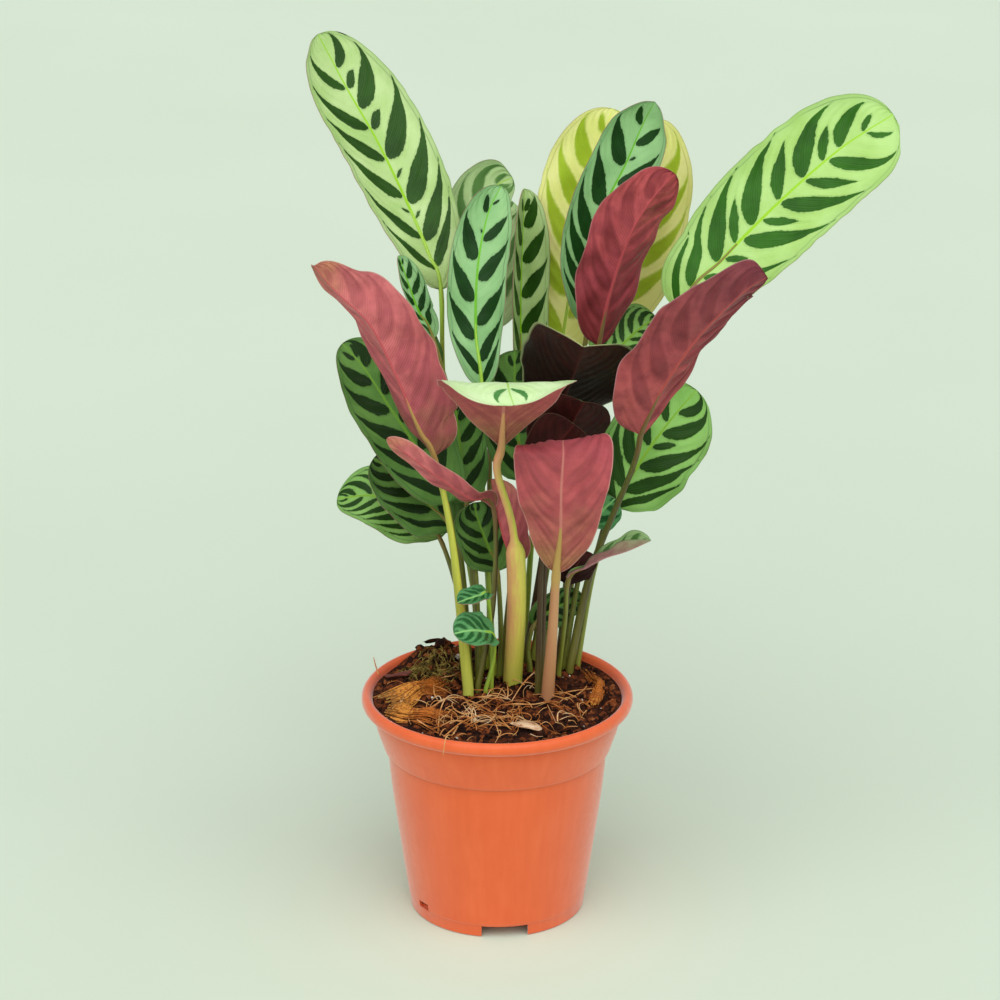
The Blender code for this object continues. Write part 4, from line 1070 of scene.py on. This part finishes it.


# Stalk rind, grown in long fibres: satin, streaked along its length, one colour on its left and
# another on its right, partly the rind's own two tones and partly painted light and shade from the
# side the light falls on, paler at the soil and at the joint under the blade.
def stalk_rind(kind, left, right, foot, joint):
    """The skin of a stalk, from its foot to the joint at the neck."""
    rind = new_material("stalk_rind_" + kind, 0.4)
    along, streak = marked(rind, "along"), cloudy(rind, 900.0, 3.0, (1.0, 1.0, 0.05))
    # Left to right across the stalk: partly its own two tones, partly painted light and shade.
    turn = span(rind, marked(rind, "right"), -0.75, 0.75)
    drift = span(rind, streak, 0.3, 0.7, -0.25, 0.25)
    colour = tint(rind, reckon(rind, "ADD", turn, drift, use_clamp=True), left, right)
    colour = tint(rind, span(rind, along, 0.06, 0.34, 0.75, 0.0), colour, foot)
    colour = tint(rind, span(rind, along, 0.86, 0.95, 0.0, 0.8), colour, joint)
    sheen = span(rind, streak, 0.3, 0.7, 0.34, 0.5)
    coat(rind, colour, dents(rind, streak, 0.35, 0.0003), sheen)
    STALK_RINDS[kind] = rind


upper_skin("lime", ("#A8CA7C", "#BDD896"), ("#1A3E0C", "#285014"), "#93C822", "#4E7038", 0.3, 0.38)
upper_skin("spring", ("#A8D072", "#B6DC88"), ("#21540C", "#306A16"),
           "#9AD024", "#507A38", 0.3, 0.36)
upper_skin("mint", ("#8DBE80", "#9FCC8E"), ("#0E2F0E", "#184016"), "#74BC34", "#3C6240", 0.3, 0.38)
upper_skin("pale", ("#AACF8A", "#B9DA9A"), ("#4E7C3C", "#5E8A48"), "#9FCB48", "#62825A", 0.8, 0.42)
under_skin("rose", [(0.0, "#BE6060"), (0.35, "#AA5052"), (0.7, "#9A4C50"), (1.0, "#824048")],
           "#5E222C", "#B0504A", "#B48084", 0.45)
stalk_rind("green", "#7E9A35", "#9DBB3C", "#A9B13A", "#A8D345")
stalk_rind("olive", "#5B5A22", "#7F8A30", "#8E9434", "#8B7A3A")
for name, leaf in TALL_LEAVES.items():
    grow_leaf(name, leaf)


# Yellow leaves: two tall old leaves behind the rest, faded from green to yellow, whose stripes
# have gone olive and soft at the edge.
# Painted light: these yellows are paler than the leaves' own, to make up for the shade the leaves
# in front cast on them.
upper_skin("yellow", ("#EAF48C", "#F4FAA2"), ("#9ABA28", "#AECE36"),
           "#E8F47C", "#ABB04E", 1.2, 0.42)
YELLOW_LEAVES = {
    "leaf_yellow_left": dict(
        foot=(14, 51), stem=[(21, 72, 208)],
        rib=[(33, 92, 273), (39, 102, 308), (47, 114, 343), (55, 124, 375), (60, 128, 394)],
        face=(0.1, -0.95, 0.3), width=56, fold=(4, 4), roll=(12, 12), wave=1.5,
        skins="yellow rose green"),
    "leaf_yellow_right": dict(
        foot=(23, 49), stem=[(41, 84, 203)],
        rib=[(59, 108, 279), (67, 116, 304), (76, 126, 337), (79, 134, 370), (75, 136, 385)],
        face=(0.1, -0.95, 0.3), width=50, fold=(4, 4), roll=(12, 16), wave=1.5,
        skins="yellow rose olive"),
}
for name, leaf in YELLOW_LEAVES.items():
    grow_leaf(name, leaf)


# Low striped leaves: the shorter ones at both sides and between the stalks, in part shade. The
# shaded skin gives most of them a deeper green than the tall ones, which is painted shade.
upper_skin("meadow", ("#83B85A", "#95C86C"), ("#183A0C", "#234812"), "#86B438", "#385C36", 0.3, 0.4)
# Painted shade: the shaded skin's darker greens stand for the shade between the stalks.
upper_skin("shaded", ("#507A36", "#648E44"), ("#10260A", "#18320E"),
           "#6E9A34", "#2E4C2E", 0.35, 0.42)
upper_skin("fresh", ("#4F9458", "#67A868"), ("#1C5228", "#265E2E"), "#8CC878", "#3F6A4C", 0.7, 0.38)
LOW_LEAVES = {
    "leaf_round_small": dict(
        foot=(33, 44), stem=[(47, 62, 212)],
        rib=[(56, 66, 275), (65, 72, 283), (74, 80, 289), (83, 86, 293)],
        face=(-0.2, -0.8, 0.55), width=30, roll=(12, 12), wave=1.0, skins="meadow rose olive"),
    "leaf_broad_right": dict(
        foot=(42, 36), stem=[(50, 46, 165)],
        rib=[(61, 48, 202), (68, 49, 216), (80, 52, 235), (94, 56, 253), (103, 58, 263)],
        face=(0.15, -0.9, 0.4), width=52, fold=(8, 6), roll=(10, 12), tip=0.42, wave=1.5,
        skins="meadow rose olive",
        minus=[(0.02, 10), (0.16, 11), (0.32, 10, 0.9), (0.5, 9, 0.8), (0.7, 7, 0.55)],
        plus=[(-0.02, 10), (0.15, 12), (0.34, 12), (0.5, 6, 0.4), (0.62, 11, 0.92), (0.8, 9, 0.8)]),
    "leaf_long_left": dict(
        foot=(-16, 8), stem=[(-20, 13, 175)], thick=(1.9, 1.4),
        rib=[(-26, 21, 214), (-38, 25, 238), (-54, 30, 262), (-68, 35, 283), (-79, 38, 295)],
        face=(0.3, -0.9, 0.3), width=42, fold=(6, 4), roll=(12, 10), tip=0.5, wave=1.2, pitch=17.0),
    "leaf_low_left": dict(
        foot=(-14, 13), stem=[(-18, 20, 156)], thick=(2.1, 1.3),
        rib=[(-24, 31, 195), (-36, 35, 209), (-50, 40, 222), (-64, 45, 230)],
        face=(0.2, -0.85, 0.5), width=40, fold=(6, 4), roll=(12, 10), tip=0.5, wave=1.0,
        pitch=12.0),
    "leaf_pointed_left": dict(
        foot=(-15, 27), stem=[(-17, 36, 143)],
        rib=[(-30, 47, 185), (-46, 53, 197), (-64, 61, 203), (-84, 68, 199)],
        face=(0.2, -0.8, 0.55), width=38, tip=0.62, wave=1.0, pitch=9.0, skins="meadow rose olive"),
    "leaf_folded_small": dict(
        foot=(-9, 33), stem=[(-19, 44, 235)],
        rib=[(-33, 41, 297), (-40, 41, 311), (-46, 42, 328), (-50, 44, 340)],
        face=(0.4, -0.8, 0.2), width=18, fold=(34, 10), roll=(20, 16), base=0.7, tip=0.5, pitch=9.0,
        skins="mint rose olive"),
    "leaf_hidden_left": dict(
        foot=(-15, 42), stem=[(-18, 45, 165), (-23.5, 47, 205), (-31, 51.5, 245)],
        rib=[(-35, 50, 271), (-39, 50, 285), (-43, 50, 296), (-46, 50, 304)],
        face=(0.3, -0.9, 0.3), width=22, roll=(12, 12), pitch=9.0),
    "leaf_green_shaded": dict(
        foot=(1, 26), stem=[(2, 27, 136)],
        rib=[(0, 29, 174), (-5, 29, 188), (-10, 30, 202), (-12, 31, 211)],
        face=(0.1, -0.9, 0.3), width=30, fold=(8, 8), roll=(12, 12), pitch=9.0),
    "leaf_striped_low": dict(
        foot=(17, 34), stem=[(16, 35, 127)],
        rib=[(19, 37, 140), (27, 39.5, 147), (36, 43.3, 150), (45, 45.7, 149)],
        face=(0.5, -0.8, 0.2), width=20, tip=0.5, pitch=8.0),
    "leaf_tiny_right": dict(
        foot=(35, 35), stem=[(39, 39, 145), (43, 42, 168)],
        rib=[(48, 42, 193), (52, 42, 199), (56, 42, 204), (61, 42, 209)],
        face=(0.1, -0.97, 0.1), width=20, fold=(5, 5), roll=(8, 8), wave=0.4, pitch=8.0,
        skins="fresh rose olive"),
    "leaf_olive_inner": dict(
        foot=(9, 42), stem=[(11, 48, 172)],
        rib=[(12, 50, 216), (11, 54, 237), (9, 57, 261), (9, 60, 284)],
        face=(0.1, -0.95, 0.2), width=36, pitch=14.0),
    "leaf_olive_shaded": dict(
        foot=(-10, 13), stem=[(-11, 27, 170)],
        rib=[(-16, 34, 209), (-18, 36, 227), (-20, 37, 249), (-22, 38, 265)],
        face=(0.1, -0.95, 0.2), width=28, pitch=12.0),
}
for name, leaf in LOW_LEAVES.items():
    grow_leaf(name, leaf)


# Young leaves at the soil: three small blades, not full grown, on thread-thin stalks. One is
# still half rolled and pink outside.
under_skin("blush", [(0.0, "#C07A86"), (0.5, "#B98A86"), (1.0, "#A9B48A")],
           "#9A5560", "#D0949A", "#6C7A5A", 0.25)
YOUNG_LEAVES = {
    "leaf_oval_small": dict(
        foot=(-6, 1), stem=[(-2, 2, 135)], thick=(1.2, 1.0),
        rib=[(-2, 0, 150), (-7, -7, 155), (-14, -13, 158), (-22, -17, 158)],
        face=(0.0, -0.7, 0.7), width=20, roll=(16, 16), pitch=5.5, skins="fresh rose green"),
    "leaf_bud_small": dict(
        foot=(-3, 6), stem=[(-3, 7, 144)], thick=(1.2, 1.0),
        rib=[(-5, 0, 172), (-9, -5, 174), (-14, -9, 174), (-20, -12, 173)],
        face=(0.0, -0.6, 0.8), width=13, fold=(20, 6), roll=(16, 16), wave=0.6, pitch=4.5,
        skins="fresh rose green"),
    "leaf_rolled_young": dict(
        foot=(32, 25), stem=[(35, 23, 149)], thick=(1.4, 1.2),
        rib=[(37, 22, 173), (46, 17, 181), (55, 10, 189), (66, 4, 195), (78, -2, 203)],
        face=(-0.1, -0.2, 0.95), width=19, fold=(60, 50), base=0.95, tip=0.3, shoulder=4.0,
        pitch=10.0, skins="pale blush olive"),
}
for name, leaf in YOUNG_LEAVES.items():
    grow_leaf(name, leaf)


# Rose leaves: the ones that have turned their downy pink undersides to the front, among them the
# two in front of the stalks. The nodding one bends over and shows its pale upper face from above.
upper_skin("cream", ("#CFF0AC", "#E0F8C4"), ("#3F7F3A", "#5A9A4E"), "#A9D86A", "#A8B98A", 0.5, 0.36)
under_skin("coral", [(0.0, "#AE7C58"), (0.25, "#BC6E60"), (0.5, "#C45E62"), (1.0, "#AE4E56")],
           "#8E4048", "#D0847A", "#D2A096", 0.35)
under_skin("pink", [
    (0.0, "#8E5C48"), (0.22, "#B45C60"), (0.5, "#CE6C70"), (0.8, "#D87A7A"), (1.0, "#C88468"),
], "#8C3C48", "#BC5458", "#D09A90", 0.4)
under_skin("wine", [(0.0, "#72262A"), (0.4, "#A0424A"), (0.8, "#BA5658"), (1.0, "#A84648")],
           "#5A1A22", "#B0484E", "#B07A78", 0.45)
stalk_rind("yellow", "#A4A838", "#D2D652", "#C4CC5C", "#B0784E")
stalk_rind("peach", "#B47E58", "#C08F60", "#B57B58", "#B89A4E")
stalk_rind("two_toned", "#DC9C6C", "#DCDA5A", "#B2C43C", "#DE9C72")
stalk_rind("brown", "#6A6A2A", "#4A4018", "#7A7A2E", "#7A5A34")
ROSE_LEAVES = {
    "leaf_rose_upright": dict(
        foot=(32, 39), stem=[(35.3, 46.6, 150), (40, 56, 214)],
        rib=[(52, 50, 290), (58, 49, 320), (68, 48, 351), (79, 50, 369), (90, 54, 380)],
        face=(-0.2, 0.9, 0.2), width=40, fold=(22, 18), roll=(14, 14), base=0.5, tip=(0.24, 0.44),
        wave=1.8, waves=3, buckle=4.0, pleats=((0.45, 9.0), (0.45, 8.0)), skins="lime wine brown"),
    "leaf_rose_right": dict(
        foot=(38, 31), stem=[(49, 38, 171), (69, 24, 232)], thick=(2.2, 1.4),
        rib=[(73, 16, 254), (77, 12, 266), (85, 7, 285), (101, 0, 312), (122, -4, 336),
            (134, 2, 342)],
        face=(-0.35, 0.9, 0.3), width=52, fold=(28, 8), roll=(16, 14), base=0.34, tip=(0.26, 0.55),
        wave=1.8, waves=3, buckle=4.0, pleats=((1.0, 10.0), (0.3, 9.0)), skins="lime rose brown"),
    "leaf_pink_front": dict(
        foot=(26, -3), stem=[(28, -6, 150)], thick=(3.5, 2.2),
        rib=[(30, -8, 188), (32, -15, 214), (32, -22, 238), (33, -22, 256), (33, -12, 260),
            (34, 0, 256)],
        face=(0.0, 0.9, 0.3), width=55, fold=(-12, 6), roll=(4, 8), base=1.2, tip=0.3,
        shoulder=1.05, wave=1.6, waves=3, buckle=4.0, pleats=((0.45, 9.0), (0.45, 8.0)),
        skins="lime coral peach"),
    "leaf_pink_left": dict(
        foot=(-15, 3), stem=[(-23, 3, 201)], thick=(2.9, 1.5),
        rib=[(-32, 3, 247), (-39, 2, 261), (-50, -2, 290), (-63, -8, 320), (-79, -14, 339),
            (-90, -18, 354)],
        face=(0.2, 0.9, 0.2), width=48, fold=(26, 40), roll=(22, 16), base=(0.22, 0.5),
        tip=(0.6, 0.5), wave=2.0, waves=3, buckle=4.0, pleats=((0.45, 9.0), (0.45, 8.0)),
        skins="lime pink yellow"),
    "leaf_nodding_front": dict(
        foot=(8, 16), stem=[(10, 11, 165), (8, 6, 206), (0, 1, 239)], thick=(5, 2),
        rib=[(2, 0, 252), (3, -17, 276), (4, -40, 299), (5, -61, 308), (6, -78, 309),
            (8, -90, 307)],
        face=(-0.06, 0.6, 0.8), width=74, fold=(-2, 2), roll=(4, 5), base=0.85, tip=0.5,
        shoulder=2.0, wave=1.0, sheath=0.62, skins="cream coral two_toned",
        minus=[(0.05, 10, 0.9), (0.18, 11, 0.9), (0.33, 11, 0.8), (0.5, 12, 0.75), (0.84, 6, 0.5)],
        plus=[(0.1, 10, 0.9), (0.25, 11, 0.9), (0.4, 11, 0.8), (0.6, 8, 0.4), (0.84, 6, 0.5)]),
    "leaf_twisted_pink": dict(
        foot=(-10, 6), stem=[(-2, 13, 164)],
        rib=[(-2, 14, 215), (-14, 1, 225), (-29, -8, 239), (-43, -10, 251), (-55, -9, 261)],
        face=(0.2, 0.9, 0.35), width=15, fold=(8, 8), roll=(14, 14), wave=1.0,
        skins="mint pink brown"),
    "leaf_magenta_rolled": dict(
        foot=(4, 22), stem=[(4.5, 20, 145)],
        rib=[(7, 16, 182), (3, 16, 199), (-1, 18, 215), (-3, 20, 228)],
        face=(0.8, 0.6, 0.2), width=28, fold=(50, 50), roll=(20, 20), skins="mint pink olive"),
}
for name, leaf in ROSE_LEAVES.items():
    grow_leaf(name, leaf)


# Dark leaves: the ones in the middle, deep in the shade of the others, with a paler line along
# their margins. Their maroon undersides are painted near black and their stalks dark: painted
# shade.
# Painted shade: the maroon undersides darkened to near black, and the stalks' dark rind below.
under_skin("maroon", [(0.0, "#1C0704"), (0.5, "#300D0B"), (1.0, "#421413")],
           "#190605", "#521A16", "#5A4634", 0.3)
under_skin("edged", [(0.0, "#180503"), (0.5, "#260907"), (1.0, "#461616")],
           "#130403", "#4C1814", "#B4C088", 0.3, 1.8)
stalk_rind("dark", "#3C2416", "#4A3A18", "#6B6A2A", "#4A2A1C")
DARK_LEAVES = {
    "leaf_dark_centre": dict(
        foot=(15, 45), stem=[(26, 48, 195)],
        rib=[(30, 46, 248), (35, 37, 268), (40, 22, 287), (43, 4, 305)],
        face=(-0.1, 0.75, 0.65), width=64, fold=(0, 34), roll=(12, 22), base=0.5, tip=0.4, wave=1.5,
        skins="cream edged dark"),
    "leaf_maroon_behind": dict(
        foot=(23, 10), stem=[(25, 20, 184)],
        rib=[(32, 26, 231), (35, 22, 246), (39, 18, 261), (44, 14, 272)],
        face=(0.0, 0.85, 0.5), width=44, fold=(14, 14), roll=(14, 14), wave=1.2,
        skins="meadow maroon dark"),
    "leaf_brown_edge": dict(
        foot=(21, 4), stem=[(22, 8, 166)],
        rib=[(24, 12, 220), (26, 12, 236), (30, 11, 249), (39, 8, 262)],
        face=(0.3, 0.9, 0.3), width=34, fold=(14, 14), roll=(14, 14), wave=1.2,
        skins="meadow maroon dark"),
    "leaf_purple_small": dict(
        foot=(30, 30), stem=[(35, 31, 143)],
        rib=[(37, 30, 166), (39, 29, 173), (42, 28, 180), (44, 28, 186)],
        face=(0.0, 0.9, 0.2), width=22, fold=(8, 8), wave=0.6, skins="meadow maroon dark"),
}
for name, leaf in DARK_LEAVES.items():
    grow_leaf(name, leaf)
